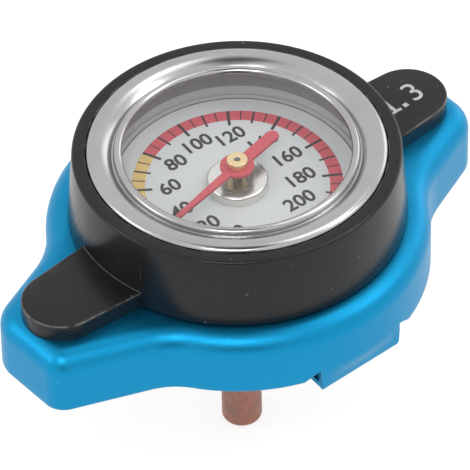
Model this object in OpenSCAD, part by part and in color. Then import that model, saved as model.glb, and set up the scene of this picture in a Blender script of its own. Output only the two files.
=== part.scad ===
// Filler cap with a dial thermometer.
// A pressed cap cover locks on a filler neck. A gauge housing sits on it, a sprung pressure valve and
// a vacuum valve hang below it, and a copper probe carries the heat of the water to a bimetal coil
// that turns the pointer.
// Millimetres. Z is up along the probe, X runs along the ears, and the origin is on the axis in the
// plane where the neck gasket meets the rim of the neck.

/* [Cap cover] */
// Diameter of the round skirt
cover_d = 48.4; // [47:0.2:52]
// Length over both ears
cover_span = 70; // [68:0.5:78]
// Height of the skirt, from the top face to its lower edge
cover_h = 8.45; // [7.5:0.05:9.5]
// Thickness of the cover's roof
cover_wall = 1.2; // [0.9:0.1:1.5]
// Thickness of the skirt and the lugs, where the sheet is drawn thinner
skirt_wall = 0.8; // [0.6:0.1:1]
// Radius of the rounded top edge
cover_edge_r = 2.4; // [2:0.1:2.6]
// Width of an ear across its flat end, measured to its sharp corners
ear_end_w = 13; // [11:0.5:15]
// Slope of an ear's sides, in degrees
ear_flare = 22; // [18:1:25]
// Radius of an ear's corners
ear_corner_r = 2.8; // [2.8:0.1:4]
// Hollow radius where an ear runs into the skirt
ear_blend_r = 9; // [7:0.5:12]

/* [Bayonet lugs] */
// Width of a lug
lug_w = 12.8; // [11:0.2:14]
// How far a lug reaches in from the outside of the skirt
lug_reach = 4.6; // [4:0.1:5]
// How far a lug hangs below the skirt
lug_drop = 2.8; // [2.4:0.1:3.2]
// Outside radius of a lug's bend
lug_bend_r = 1.2; // [1.1:0.1:1.6]
// How much narrower a lug is at its edge than at its root, on each side
lug_taper = 0.8; // [0.4:0.1:1.2]
// Width of the slanted relief notch at each end of a lug
notch_w = 2.2; // [1.6:0.1:2.6]
// How far a notch cuts up into the skirt beside the lug
notch_h = 1.3; // [0.9:0.1:1.6]

/* [Gauge housing] */
// Wall of the housing round the bezel
housing_wall = 2; // [1.8:0.05:2.6]
// Height of the housing above the cover
housing_h = 9.92; // [9.5:0.02:11]
// Thickness of the housing's floor
housing_floor_t = 2.1; // [1.9:0.1:2.4]
// Rounding of the housing's rim
rim_round = 0.9; // [0.6:0.05:1.1]
// Distance from the tip of a tongue to the end of its ear
tongue_margin = 1.85; // [1.5:0.05:2.5]
// Radius of a tongue's round tip
tongue_tip_r = 4.72; // [4.2:0.02:5]
// Width of a tongue where it leaves the housing
tongue_root_w = 10.84; // [10.5:0.02:12]
// Height of a tongue
tongue_h = 2.35; // [2:0.05:3]
// Bevel along a tongue's top edge
tongue_bevel = 0.35; // [0.2:0.05:0.6]

/* [Bezel, lens and dial] */
// Width of the bezel's foot round the lens
bezel_foot_w = 1.75; // [1.6:0.05:2]
// How far the bezel's rolled lip reaches in over the lens
lip_reach = 2.85; // [2.6:0.05:3.2]
// Radius of the rolled lip
lip_r = 0.5; // [0.4:0.05:0.6]
// How far the lip's middle stands above the lens
lip_rise = 0.95; // [0.8:0.05:1.05]
// How far the bezel's crest stands above the housing's rim
bezel_crest = 0.7; // [0.5:0.05:1]
// Width of the rounded outer edge of the bezel
bezel_edge_w = 1; // [0.8:0.1:1.2]
// How far the bezel's outer edge stands above the housing's rim
bezel_rise = 0.1; // [0:0.05:0.2]
// How far the bezel's valley lies below the housing's rim
valley_depth = 0.25; // [0.1:0.05:0.4]
// Room between the valley and the rolled lip
valley_gap = 0.3; // [0.2:0.05:0.5]
// How far the lens's top face lies below the housing's rim
lens_depth = 0.77; // [0.75:0.01:1]
// Thickness of the lens
lens_t = 0.95; // [0.8:0.05:1.2]
// Diameter of the lens
lens_d = 33.8; // [33.4:0.1:34]
// Thickness of the seal below the lens
lens_seal_t = 0.4; // [0.3:0.05:0.6]
// Thickness of the seal's skirt inside the can
seal_skirt_t = 0.3; // [0.2:0.05:0.4]
// How far the seal's skirt hangs into the can
seal_skirt_h = 1.85; // [1.5:0.05:2.2]
// Width of the seat below the lens's edge, from the can's inner wall
lens_seat_w = 1.15; // [1:0.05:1.4]
// Thickness of the can's sheet
can_t = 0.5; // [0.4:0.05:0.6]
// Width of the ledge that carries the dial's edge
can_ledge_w = 1.4; // [1:0.1:2]
// Thickness of the dial plate
dial_t = 0.5; // [0.4:0.05:0.6]
// Diameter of the polished collar in the middle of the dial
boss_d = 7.5; // [7:0.1:9]
// Height of the collar above the dial
boss_h = 1.1; // [0.9:0.05:1.3]
// Thickness of the collar's top
boss_top_t = 0.5; // [0.4:0.05:0.6]
// Radius of the collar's rounded edge
boss_edge_r = 0.3; // [0.2:0.05:0.5]

/* [Stem and probe] */
// Diameter of the threaded stem bush
bush_d = 8; // [7.6:0.1:9]
// Diameter of the bush's flange inside the can
bush_flange_d = 13; // [11:0.5:16]
// Thickness of the bush's flange
bush_flange_t = 0.9; // [0.8:0.05:1]
// Diameter of the bush's spigot that centres the dial
spigot_d = 4.8; // [4.4:0.1:5.4]
// How far the bush's thread stands out of the clamp nut
thread_over = 0.5; // [0.3:0.1:0.8]
// Diameter of the copper probe
probe_d = 5.2; // [4.8:0.05:5.4]
// How far the probe reaches below the neck's rim
probe_reach = 33.13; // [30:0.1:45]
// Wall of the probe's tube
probe_wall = 0.5; // [0.4:0.05:0.6]
// Bevel round the probe's flat end
probe_bevel = 0.3; // [0.1:0.05:0.5]
// Length of the probe's tube inside the bush
probe_insert = 5.1; // [4:0.1:5.5]
// Height of the spindle's guide in the top of the probe
guide_h = 4; // [3:0.5:5]

/* [Pointer and bimetal coil] */
// Direction of the pointer at rest, in degrees from X
pointer_angle = 190.5; // [100:0.1:230]
// Distance from the axis to the pointer's tip
pointer_len = 11.8; // [10:0.1:13]
// Distance from the axis to the end of the pointer's tail
pointer_tail = 7.7; // [6:0.1:9]
// Width of the pointer beside its hub
pointer_root_w = 1.5; // [1.2:0.1:2]
// Width of the pointer at its tip
pointer_tip_w = 0.8; // [0.5:0.1:1]
// Width of the pointer's tail
pointer_tail_w = 1.9; // [1.4:0.1:2.4]
// Diameter of the pointer's round middle
pointer_hub_d = 4.26; // [3.9:0.02:5]
// Thickness of the pointer
pointer_t = 0.4; // [0.3:0.05:0.5]
// Diameter of the brass hub above the pointer
hub_d = 2.66; // [2.4:0.02:3]
// Height of the brass hub above the pointer
hub_h = 0.95; // [0.7:0.05:1]
// Height of the hub's foot below the pointer
hub_foot_h = 0.5; // [0.4:0.05:0.6]
// Room between the hub and the lens
hub_gap = 0.2; // [0.15:0.05:0.3]
// Diameter of the spindle
spindle_d = 1.2; // [1:0.05:1.3]
// Diameter of the spindle's thin end inside the hub
spindle_end_d = 0.7; // [0.5:0.05:0.8]
// Turns of the bimetal coil
coil_turns = 15; // [12:1:15]
// Width of the bimetal strip
coil_strip_w = 0.7; // [0.5:0.05:0.75]
// Thickness of the bimetal strip
coil_strip_t = 0.3; // [0.2:0.05:0.35]
// Diameter of the coil at the middle of its strip
coil_d = 3; // [2.9:0.05:3.1]
// Gap between the coil's turns
coil_gap = 0.5; // [0.45:0.05:0.6]
// Height of the collar that ties the coil to the spindle
coil_collar_h = 1.2; // [1:0.1:1.6]
// Height of the anchor that holds the coil's lower end
anchor_h = 2.2; // [2:0.1:2.6]
// Depth of the spindle's pivot in the anchor
pivot_depth = 1.4; // [1.2:0.1:1.6]

/* [Cap fittings] */
// Thickness of the neck gasket
gasket_t = 1.5; // [1:0.1:2]
// Room between the neck gasket and the inside of the skirt
gasket_gap = 3; // [2.4:0.1:3.4]
// Thickness of the spring steel diaphragm
diaphragm_t = 0.5; // [0.4:0.05:0.6]
// Thickness of the lock washer
washer_t = 0.8; // [0.6:0.1:1]
// Width of the clamp nut across its flats
nut_flats = 12; // [11.5:0.1:13]
// Thickness of the clamp nut
nut_t = 2.5; // [2:0.1:2.8]
// Thickness of the stem seal's rubber ring
stem_seal_t = 1.2; // [1:0.05:1.3]

/* [Pressure valve] */
// Depth of the pressure seal's face below the neck's rim
throat_depth = 14.6; // [14.4:0.1:15.5]
// Diameter of the pressure seal
seal_d = 27.2; // [26.4:0.1:28]
// Thickness of the pressure seal
seal_t = 1.5; // [1.2:0.1:1.8]
// Width of the bead round the pressure seal's face
bead_w = 2.2; // [1.8:0.1:2.6]
// Depth of the groove inside the bead
bead_h = 0.3; // [0.2:0.05:0.5]
// Thickness of the pressure plate
plate_t = 0.7; // [0.6:0.05:0.9]
// How far the plate's edge lies inside the seal's edge
plate_inset = 0.6; // [0.4:0.1:1]
// Lift of the pressure valve
pressure_lift = 2.2; // [1.8:0.1:2.4]
// Outside diameter of the spring cage
cage_d = 25; // [24.6:0.1:25.2]
// Thickness of the spring cage's sheet
cage_t = 0.7; // [0.6:0.05:0.8]
// Width of a window in the spring cage
cage_window_w = 8; // [6:0.5:9]
// Outside diameter of the valve carrier's cup
carrier_d = 17.6; // [17.2:0.1:17.8]
// Thickness of the valve carrier's sheet
carrier_t = 0.7; // [0.6:0.05:0.8]
// Diameter of a vent in the valve carrier's floor
vent_d = 1; // [0.8:0.1:1.2]
// Diameter of the opening in the pressure plate and its seal
flow_d = 11.2; // [10.8:0.1:12]
// Room between the pressure spring and the cage's wall
spring_room = 1; // [0.8:0.1:1.2]
// Diameter of the pressure spring's wire
spring_wire = 1.6; // [1.3:0.1:1.7]
// Turns of the pressure spring
spring_turns = 3; // [2.5:0.25:3]

/* [Vacuum valve] */
// Diameter of the vacuum valve's disc
vacuum_d = 15.2; // [14:0.1:17]
// Thickness of the vacuum valve's disc
vacuum_t = 0.65; // [0.5:0.05:0.9]
// Outside diameter of the vacuum valve's sleeve
sleeve_d = 7.8; // [7.6:0.05:8]
// How far the vacuum valve drops to open
vacuum_drop = 1.2; // [0.8:0.1:1.4]
// Height of the vacuum spring
vacuum_spring_h = 3.7; // [3.4:0.05:3.9]
// Diameter of the vacuum spring at the middle of its wire
vacuum_spring_d = 9.6; // [9.2:0.1:10.2]
// Diameter of the vacuum spring's wire
vacuum_wire = 0.5; // [0.4:0.05:0.55]
// Turns of the vacuum spring
vacuum_turns = 3; // [2.5:0.25:3]
// Thickness of the clip on the sleeve
clip_t = 0.6; // [0.5:0.05:0.8]
// Diameter of the clip
clip_d = 11.6; // [11:0.1:12.4]
// How far the sleeve stands above its clip
sleeve_over = 0.3; // [0.2:0.05:0.4]
// Thickness of the rubber ring between the sleeve and the probe
probe_seal_t = 0.72; // [0.6:0.02:0.76]

/* [Clearances] */
// Radial play of a turning or sliding fit
running_play = 0.05; // [0.02:0.01:0.08]
// Radial play of pieces that are pressed or soldered together
fit_play = 0.02; // [0.01:0.01:0.04]
// Radial room where a piece passes through a larger hole
hole_play = 0.1; // [0.05:0.01:0.2]
// Room between pieces that stand clear of each other
free_play = 0.3; // [0.2:0.05:0.35]
// Room between faces that rest on each other through a spring
rest_gap = 0.05; // [0.03:0.01:0.08]

/* [Hidden] */
$fn = 96;

// Heights of the parts that are clamped between the bush's flange and the nut
roof_z = gasket_t + diaphragm_t;
cover_z = roof_z + cover_wall;
skirt_z = cover_z - cover_h;
housing_z = cover_z + housing_h;
can_z = cover_z + housing_floor_t;
flange_z = can_z + can_t;
dial_z = flange_z + bush_flange_t;
boss_z = dial_z + dial_t;
boss_top = boss_z + boss_h;
cage_z = gasket_t;
washer_z = cage_z - cage_t;
nut_z = washer_z - washer_t;
bush_end_z = nut_z - nut_t - thread_over;
probe_top = bush_end_z + probe_insert;

// Heights of the glass and of what turns below it
lens_top = housing_z - lens_depth;
lens_z = lens_top - lens_t;
rim_top = lens_z - lens_seal_t;
shoulder_z = rim_top - can_t;
hub_top = lens_z - hub_gap;
pointer_top = hub_top - hub_h;
pointer_z = pointer_top - pointer_t;

// Heights of the valves
seal_z = -throat_depth;
plate_z = seal_z + seal_t;
carrier_z = plate_z + plate_t;
cage_lip_z = carrier_z + pressure_lift + free_play;
brim_z = cage_lip_z + cage_t + rest_gap;
brim_top = brim_z + carrier_t;
vacuum_z = seal_z - rest_gap - vacuum_t;
vacuum_spring_z = carrier_z + carrier_t;
clip_z = vacuum_spring_z + vacuum_spring_h;
sleeve_top = clip_z + clip_t + sleeve_over;

// Radii
cover_r = cover_d / 2;
lens_r = lens_d / 2;
can_inner_r = lens_r - lens_seat_w;
can_r = can_inner_r + can_t;
lip_middle_r = lens_r - lip_reach + lip_r;
bezel_foot_r = lens_r + hole_play;
bezel_r = bezel_foot_r + bezel_foot_w;
bezel_bore_r = bezel_r + hole_play;
housing_r = bezel_bore_r + housing_wall;
gasket_r = cover_r - skirt_wall - gasket_gap;
bush_r = bush_d / 2;
bush_hole_r = bush_r + hole_play;
probe_r = probe_d / 2;
probe_neck_r = probe_r - running_play;
tube_r = probe_r - probe_wall;
spindle_r = spindle_d / 2;
spindle_hole_r = spindle_r + running_play;
spigot_r = spigot_d / 2;
cage_r = cage_d / 2;
cage_inner_r = cage_r - cage_t;
spring_r = cage_inner_r - spring_room - spring_wire / 2;
carrier_r = carrier_d / 2;
sleeve_r = sleeve_d / 2;
sleeve_bore_r = probe_r + running_play;
probe_seal_r = probe_r + fit_play + probe_seal_t / 2;
flow_r = flow_d / 2;

// Lengths inside the probe
probe_end_z = -probe_reach;
anchor_z = probe_end_z + probe_wall + fit_play;
coil_z = anchor_z + anchor_h;
coil_pitch = coil_strip_w + coil_gap;
coil_top = coil_z + coil_turns * coil_pitch + coil_strip_w;
probe_neck_z = vacuum_z - vacuum_drop - free_play;

// Directions and places along an ear's outline, and the least radius that is left at an edge
least_r = 0.2;
ear_x = cover_span / 2;
flare_normal = [sin(ear_flare), cos(ear_flare)];
flare_offset = flare_normal * [ear_x, ear_end_w / 2];
corner_x = ear_x - ear_corner_r;
corner_y = (flare_offset - ear_corner_r - flare_normal.x * corner_x) / flare_normal.y;
blend_angle = asin((flare_offset + ear_blend_r) / (cover_r + ear_blend_r)) - ear_flare;
blend_middle = (cover_r + ear_blend_r) * [cos(blend_angle), sin(blend_angle)];
edge_r = min(cover_edge_r, ear_corner_r - least_r);
inner_edge_r = max(edge_r - cover_wall, least_r);

// How far one form runs into another, and how far a cut runs past the face that it opens
root_inset = 0.05;
tongue_sink = 2;
cut_over = 1;

// Points to a turn of a winding
turn_points = 8;

// Unit direction in the plane
function direction(a) = [cos(a), sin(a)];

// A point of the cover's outline, with the angle of its outward normal
function outline_arc(middle, r, from, to, steps, turn = 0) = [
    for (i = [0:steps])
        let (a = from + (to - from) * i / steps)
            [middle + r * direction(a), a + turn]
];

// A quarter of the cover's outline, from the end of an ear to the side of the skirt
function cover_quarter() = concat(
    outline_arc([corner_x, corner_y], ear_corner_r, 0, 90 - ear_flare, 6),
    outline_arc(blend_middle, ear_blend_r, 270 - ear_flare, 180 + blend_angle, 6, -180),
    [for (i = [1:8]) let (a = blend_angle + (90 - blend_angle) * i / 8) [cover_r * direction(a), a]]
);

// The whole outline of the cover, counter-clockwise
function cover_outline() =
    let (
        quarter = cover_quarter(),
        half = concat(
            quarter,
            [for (i = [len(quarter) - 2:-1:0]) [[-quarter[i][0].x, quarter[i][0].y], 180 - quarter[i][1]]]
        )
    )
    concat(half, [for (p = half) [-p[0], p[1] + 180]]);

// The outline moved inwards along its normals, at one height
function cover_ring(outline, inset, z) = [
    for (p = outline) let (q = p[0] - inset * direction(p[1])) [q.x, q.y, z]
];

// The hole for the stem bush, with one point for each point of the outline
function hole_ring(outline, r, z) = [
    for (p = outline) let (a = atan2(p[0].y, p[0].x)) [r * cos(a), r * sin(a), z]
];

// Rings of a rounded edge, from the side to the flat
function edge_rings(outline, inset, r, top, steps) = [
    for (i = [0:steps])
        let (a = 90 * i / steps)
            cover_ring(outline, inset + r * (1 - cos(a)), top - r + r * sin(a))
];

// Reversed copy of a list
function reversed(list) = [for (i = [len(list) - 1:-1:0]) list[i]];

// Closed surface through rings whose last ring joins the first
module ring_shell(rings) {
    n = len(rings);
    m = len(rings[0]);
    polyhedron(
        points = [for (ring = rings) each ring],
        faces = [
            for (k = [0:n - 1], i = [0:m - 1])
                let (
                    a = k * m + i,
                    b = k * m + (i + 1) % m,
                    c = ((k + 1) % n) * m + i,
                    d = ((k + 1) % n) * m + (i + 1) % m
                )
                each [[a, c, d], [a, d, b]]
        ]
    );
}

// Solid swept through rings of section points. Its ends are closed between the two halves of a ring.
module swept_solid(rings) {
    n = len(rings);
    m = len(rings[0]);
    end = (n - 1) * m;
    polyhedron(
        points = [for (ring = rings) each ring],
        faces = concat(
            [
                for (k = [0:n - 2], j = [0:m - 1])
                    let (a = k * m + j, b = k * m + (j + 1) % m)
                    each [[a, b, b + m], [a, b + m, a + m]]
            ],
            [
                for (j = [0:m / 2 - 2])
                    let (a = j, b = j + 1, c = m - 2 - j, d = m - 1 - j)
                    each [[b, a, d], [b, d, c], [end + a, end + b, end + d], [end + b, end + c, end + d]]
            ]
        )
    );
}

// Middle of a wound wire
function helix_path(r, z, rise, turns) =
    let (last = round(turn_points * turns))
    [
        for (i = [0:last])
            let (a = 360 * i / turn_points)
                [r * cos(a), r * sin(a), z + rise * i / last]
    ];

// Rings of a wound wire, whose section is given as points out from and along the axis
function helix_rings(r, z, rise, turns, section) =
    let (
        path = helix_path(r, z, rise, turns),
        slope = atan2(rise / turns, 2 * PI * r)
    )
    [
        for (i = [0:len(path) - 1])
            let (
                a = 360 * i / turn_points,
                out = [cos(a), sin(a), 0],
                along = [sin(slope) * sin(a), -sin(slope) * cos(a), cos(slope)]
            )
            [for (q = section) path[i] + q.x * out + q.y * along]
    ];

// Six points of a round wire's section
function wire_section(d) = [for (j = [0:5]) d / 2 * [cos(60 * j + 30), sin(60 * j + 30)]];

// Four points of a flat strip's section
function strip_section(t, w) = [[t / 2, -w / 2], [t / 2, w / 2], [-t / 2, w / 2], [-t / 2, -w / 2]];

// Least gap between a winding's turns, measured on points over half a turn apart
function least_gap(path, thick) =
    min([
        for (i = [0:len(path) - 1], j = [0:len(path) - 1])
            if (j - i > turn_points / 2) norm(path[i] - path[j])
    ]) - thick;

// Flat ring
module ring(outer, inner, z, h) {
    translate([0, 0, z])
        difference() {
            cylinder(r = outer, h = h);
            translate([0, 0, -cut_over])
                cylinder(r = inner, h = h + 2 * cut_over);
        }
}

// Round rubber ring
module rubber_ring(middle_r, thick, z) {
    translate([0, 0, z])
        rotate_extrude()
            translate([middle_r, 0])
                circle(d = thick);
}

// A form towards +X or +Y and its twin on the other side of the axis
module both_sides() {
    for (a = [0, 180])
        rotate([0, 0, a])
            children();
}

// One face of a bayonet lug's section as points across and up, from its root in the skirt to its edge
function lug_face(skirt_y, bend_r) =
    let (
        straight_y = cover_r * cos(asin(lug_w / 2 / cover_r)) - root_inset,
        bend = [straight_y - lug_bend_r, skirt_z - lug_drop + lug_bend_r],
        bend_step = 22.5
    )
    concat(
        [[skirt_y, skirt_z + notch_h / 2], [skirt_y, skirt_z]],
        [for (a = [0:bend_step:90]) bend + bend_r * [cos(a), -sin(a)]],
        [[cover_r - lug_reach, bend.y - bend_r]]
    );

// Section of a bayonet lug at one place along X at its root.
// It runs down from the round skirt, turns straight, bends inwards and narrows towards its edge.
function lug_section(x) =
    let (
        outer = lug_face(sqrt(cover_r ^ 2 - x ^ 2) - root_inset, lug_bend_r),
        inner = lug_face(sqrt((cover_r - skirt_wall) ^ 2 - x ^ 2) + root_inset, lug_bend_r - skirt_wall),
        last = len(outer) - 1,
        places = [for (i = [0:last]) x * (1 - 2 * lug_taper / lug_w * max(i - 1, 0) / (last - 1))]
    )
    concat(
        [for (i = [0:last]) [places[i], outer[i].x, outer[i].y]],
        [for (i = [last:-1:0]) [places[i], inner[i].x, inner[i].y]]
    );

// One bayonet lug on the side towards +Y
module lug() {
    steps = 8;
    swept_solid([for (i = [0:steps]) lug_section(lug_w * (i / steps - 0.5))]);
}

// Slanted relief notches beside a lug on the side towards +Y
module lug_notches() {
    slant = notch_w / notch_h;
    for (side = [-1, 1])
        translate([side * lug_w / 2, cover_r + cut_over, skirt_z])
            rotate([90, 0, 0])
                linear_extrude(height = cover_r / 2)
                    scale([side, 1])
                        polygon([[0, -cut_over], [notch_w + slant * cut_over, -cut_over], [0, notch_h]]);
}

module cap_cover() {
    outline = cover_outline();
    rings = concat(
        [cover_ring(outline, 0, skirt_z)],
        edge_rings(outline, 0, edge_r, cover_z, 6),
        [hole_ring(outline, bush_hole_r, cover_z)],
        [hole_ring(outline, bush_hole_r, roof_z)],
        reversed(edge_rings(outline, skirt_wall, inner_edge_r, roof_z, 3)),
        [cover_ring(outline, skirt_wall, skirt_z)]
    );
    color("#2a8fbd") {
        difference() {
            ring_shell(rings);
            both_sides()
                lug_notches();
        }
        both_sides()
            lug();
    }
}

// One tongue of the gauge housing, towards +X, with a bevel along its top edge
module tongue() {
    tip_x = ear_x - tongue_margin - tongue_tip_r;
    root_x = housing_r - tongue_sink;
    root_w = tongue_root_w / 2;
    root_to_tip = norm([tip_x - root_x, root_w]);
    tip_turn = acos(tongue_tip_r / root_to_tip);
    taper = tip_turn - atan2(tip_x - root_x, root_w);
    side_len = root_to_tip * sin(tip_turn);
    translate([0, 0, cover_z]) {
        intersection_for(side = [-1, 1])
            translate([root_x, side * root_w, 0])
                rotate([0, 0, -side * taper])
                    rotate([90, 0, 90])
                        linear_extrude(height = side_len)
                            scale([side, 1])
                                polygon([
                                    [0, 0],
                                    [0, tongue_h - tongue_bevel],
                                    [-tongue_bevel, tongue_h],
                                    [-2 * tongue_root_w, tongue_h],
                                    [-2 * tongue_root_w, 0]
                                ]);
        translate([tip_x, 0, 0]) {
            cylinder(r = tongue_tip_r, h = tongue_h - tongue_bevel);
            translate([0, 0, tongue_h - tongue_bevel])
                cylinder(r1 = tongue_tip_r, r2 = tongue_tip_r - tongue_bevel, h = tongue_bevel);
        }
    }
}

module gauge_housing() {
    rim_middle = [housing_r - rim_round, housing_z - rim_round];
    color("#3c3c3e")
        difference() {
            union() {
                rotate_extrude()
                    polygon(concat(
                        [[0, cover_z], [housing_r, cover_z]],
                        [for (a = [0:15:90]) rim_middle + rim_round * direction(a)],
                        [[0, housing_z]]
                    ));
                both_sides()
                    tongue();
            }
            translate([0, 0, can_z])
                cylinder(r = can_r + hole_play, h = housing_h);
            translate([0, 0, shoulder_z])
                cylinder(r = bezel_bore_r, h = housing_h);
            translate([0, 0, cover_z - cut_over]) {
                cylinder(r = bush_hole_r, h = housing_h);
                cylinder(r = bush_r + fit_play + stem_seal_t + hole_play, h = stem_seal_t + cut_over);
            }
        }
}

module stem_seal() {
    color("#1c1c1c")
        rubber_ring(bush_r + fit_play + stem_seal_t / 2, stem_seal_t, cover_z + stem_seal_t / 2);
}

// Rolled section of the bezel, from the foot over the crest and the valley to the lip
module bezel_ring() {
    valley_r = lip_middle_r + lip_r + valley_gap;
    valley_z = housing_z - valley_depth;
    crest_z = housing_z + bezel_crest;
    crest_r = bezel_r - bezel_edge_w;
    edge_z = housing_z + bezel_rise;
    lip_z = lens_top + lip_rise;
    steps = 6;
    color("#c9cbce")
        rotate_extrude() {
            polygon(concat(
                [
                    [lip_middle_r, lens_top],
                    [bezel_foot_r, lens_top],
                    [bezel_foot_r, rim_top],
                    [bezel_r, rim_top]
                ],
                [
                    for (i = [0:steps])
                        let (a = 90 * i / steps)
                            [crest_r + bezel_edge_w * cos(a), edge_z + (crest_z - edge_z) * sin(a)]
                ],
                [
                    for (i = [1:steps])
                        let (s = i / steps, fall = (1 - cos(180 * s)) / 2)
                            [crest_r + (valley_r - crest_r) * s, crest_z + (valley_z - crest_z) * fall]
                ],
                [
                    [lip_middle_r + lip_r, valley_z],
                    [lip_middle_r + lip_r, lip_z],
                    [lip_middle_r, lip_z]
                ]
            ));
            translate([lip_middle_r, lip_z])
                circle(r = lip_r);
        }
}

module lens() {
    color("#dfe8ea", 0.35)
        translate([0, 0, lens_z])
            cylinder(r = lens_r, h = lens_t);
}

// Seal below the lens, with a skirt inside the can's wall
module lens_seal() {
    skirt_r = can_inner_r - fit_play;
    skirt_end_z = rim_top - seal_skirt_h;
    color("#5a5b5d")
        rotate_extrude()
            polygon([
                [skirt_r - seal_skirt_t, skirt_end_z],
                [skirt_r, skirt_end_z],
                [skirt_r, rim_top],
                [lens_r, rim_top],
                [lens_r, lens_z],
                [skirt_r - seal_skirt_t, lens_z]
            ]);
}

module gauge_can() {
    color("#b4b7ba")
        rotate_extrude()
            polygon([
                [bush_hole_r, can_z],
                [can_r, can_z],
                [can_r, shoulder_z],
                [bezel_r - hole_play, shoulder_z],
                [bezel_r - hole_play, rim_top],
                [can_inner_r, rim_top],
                [can_inner_r, dial_z],
                [can_inner_r - can_ledge_w, dial_z],
                [can_inner_r - can_ledge_w, flange_z],
                [bush_hole_r, flange_z]
            ]);
}

module dial_plate() {
    color("#d9dcde")
        ring(can_inner_r - hole_play, spigot_r + hole_play, dial_z, dial_t);
}

module dial_collar() {
    round_x = boss_d / 2 - boss_edge_r;
    round_z = boss_h - boss_edge_r;
    steps = 4;
    color("#d5d6d2")
        translate([0, 0, boss_z])
            rotate_extrude()
                polygon(concat(
                    [
                        [spigot_r + fit_play, 0],
                        [boss_d / 2, 0]
                    ],
                    [
                        for (i = [0:steps])
                            let (a = 90 * i / steps)
                                [round_x + boss_edge_r * cos(a), round_z + boss_edge_r * sin(a)]
                    ],
                    [
                        [spindle_hole_r, boss_h],
                        [spindle_hole_r, boss_h - boss_top_t],
                        [spigot_r + fit_play, boss_h - boss_top_t]
                    ]
                ));
}

module stem_bush() {
    core_r = spindle_r + 2 * free_play;
    spigot_top = boss_top - boss_top_t - fit_play;
    color("#c8a45a")
        rotate_extrude()
            polygon([
                [probe_neck_r + fit_play, bush_end_z],
                [bush_r, bush_end_z],
                [bush_r, flange_z],
                [bush_flange_d / 2, flange_z],
                [bush_flange_d / 2, dial_z],
                [spigot_r, dial_z],
                [spigot_r, spigot_top],
                [core_r, spigot_top],
                [core_r, probe_top],
                [probe_neck_r + fit_play, probe_top]
            ]);
}

module probe_tube() {
    color("#9a6d5c")
        rotate_extrude()
            polygon([
                [0, probe_end_z],
                [probe_r - probe_bevel, probe_end_z],
                [probe_r, probe_end_z + probe_bevel],
                [probe_r, probe_neck_z],
                [probe_neck_r, probe_neck_z + probe_r - probe_neck_r],
                [probe_neck_r, probe_top],
                [tube_r, probe_top],
                [tube_r, probe_end_z + probe_wall],
                [0, probe_end_z + probe_wall]
            ]);
}

module guide_bush() {
    color("#b58a3c")
        ring(tube_r - fit_play, spindle_hole_r, probe_top - guide_h, guide_h);
}

module coil_anchor() {
    color("#b58a3c")
        translate([0, 0, anchor_z])
            difference() {
                cylinder(r = tube_r - fit_play, h = anchor_h);
                translate([0, 0, anchor_h - pivot_depth])
                    cylinder(r = spindle_hole_r, h = anchor_h);
            }
}

module bimetal_coil() {
    color("#8d8f92")
        swept_solid(helix_rings(
            coil_d / 2, coil_z + coil_strip_w / 2 + fit_play, coil_top - coil_z - coil_strip_w,
            coil_turns, strip_section(coil_strip_t, coil_strip_w)
        ));
}

module coil_collar() {
    color("#b58a3c")
        ring(coil_d / 2 + coil_strip_t / 2, spindle_r + fit_play, coil_top + rest_gap, coil_collar_h);
}

module spindle() {
    foot_z = anchor_z + anchor_h - pivot_depth + rest_gap;
    color("#6d7073") {
        translate([0, 0, foot_z])
            cylinder(r = spindle_r, h = pointer_z - hub_foot_h - foot_z);
        translate([0, 0, foot_z])
            cylinder(d = spindle_end_d, h = hub_top - fit_play - foot_z);
    }
}

module pointer() {
    tail_r = pointer_tail_w / 2;
    tail_x = pointer_tail - tail_r;
    tip_r = pointer_tip_w / 2;
    tip_x = pointer_len - tip_r;
    color("#c8343c")
        translate([0, 0, pointer_z])
            rotate([0, 0, pointer_angle])
                difference() {
                    union() {
                        cylinder(d = pointer_hub_d, h = pointer_t);
                        linear_extrude(height = pointer_t)
                            polygon([
                                [0, -pointer_root_w / 2],
                                [tip_x, -tip_r],
                                [tip_x, tip_r],
                                [0, pointer_root_w / 2]
                            ]);
                        translate([tip_x, 0, 0])
                            cylinder(r = tip_r, h = pointer_t);
                        translate([-tail_x, -tail_r, 0])
                            cube([tail_x, pointer_tail_w, pointer_t]);
                        translate([-tail_x, 0, 0])
                            cylinder(r = tail_r, h = pointer_t);
                    }
                    translate([0, 0, -cut_over])
                        cylinder(r = spindle_r + fit_play, h = pointer_t + 2 * cut_over);
                }
}

module pointer_hub() {
    color("#d8b878")
        rotate_extrude()
            polygon([
                [spindle_end_d / 2 + fit_play, pointer_z - hub_foot_h + fit_play],
                [hub_d / 2, pointer_z - hub_foot_h + fit_play],
                [hub_d / 2, pointer_z],
                [spindle_r, pointer_z],
                [spindle_r, pointer_top],
                [hub_d / 2, pointer_top],
                [hub_d / 2, hub_top],
                [spindle_end_d / 2 + fit_play, hub_top]
            ]);
}

module clamp_washer() {
    color("#9a9da0")
        ring(nut_flats / 2, bush_hole_r, nut_z, washer_t);
}

module clamp_nut() {
    color("#b9953f")
        translate([0, 0, nut_z - nut_t])
            difference() {
                cylinder(d = nut_flats / cos(30), h = nut_t, $fn = 6);
                translate([0, 0, -cut_over])
                    cylinder(r = bush_r + fit_play, h = nut_t + 2 * cut_over);
            }
}

module diaphragm() {
    color("#a9adb0")
        ring(gasket_r, bush_hole_r, gasket_t, diaphragm_t);
}

module neck_gasket() {
    color("#222222")
        ring(gasket_r, cage_r + free_play, 0, gasket_t);
}

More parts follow.
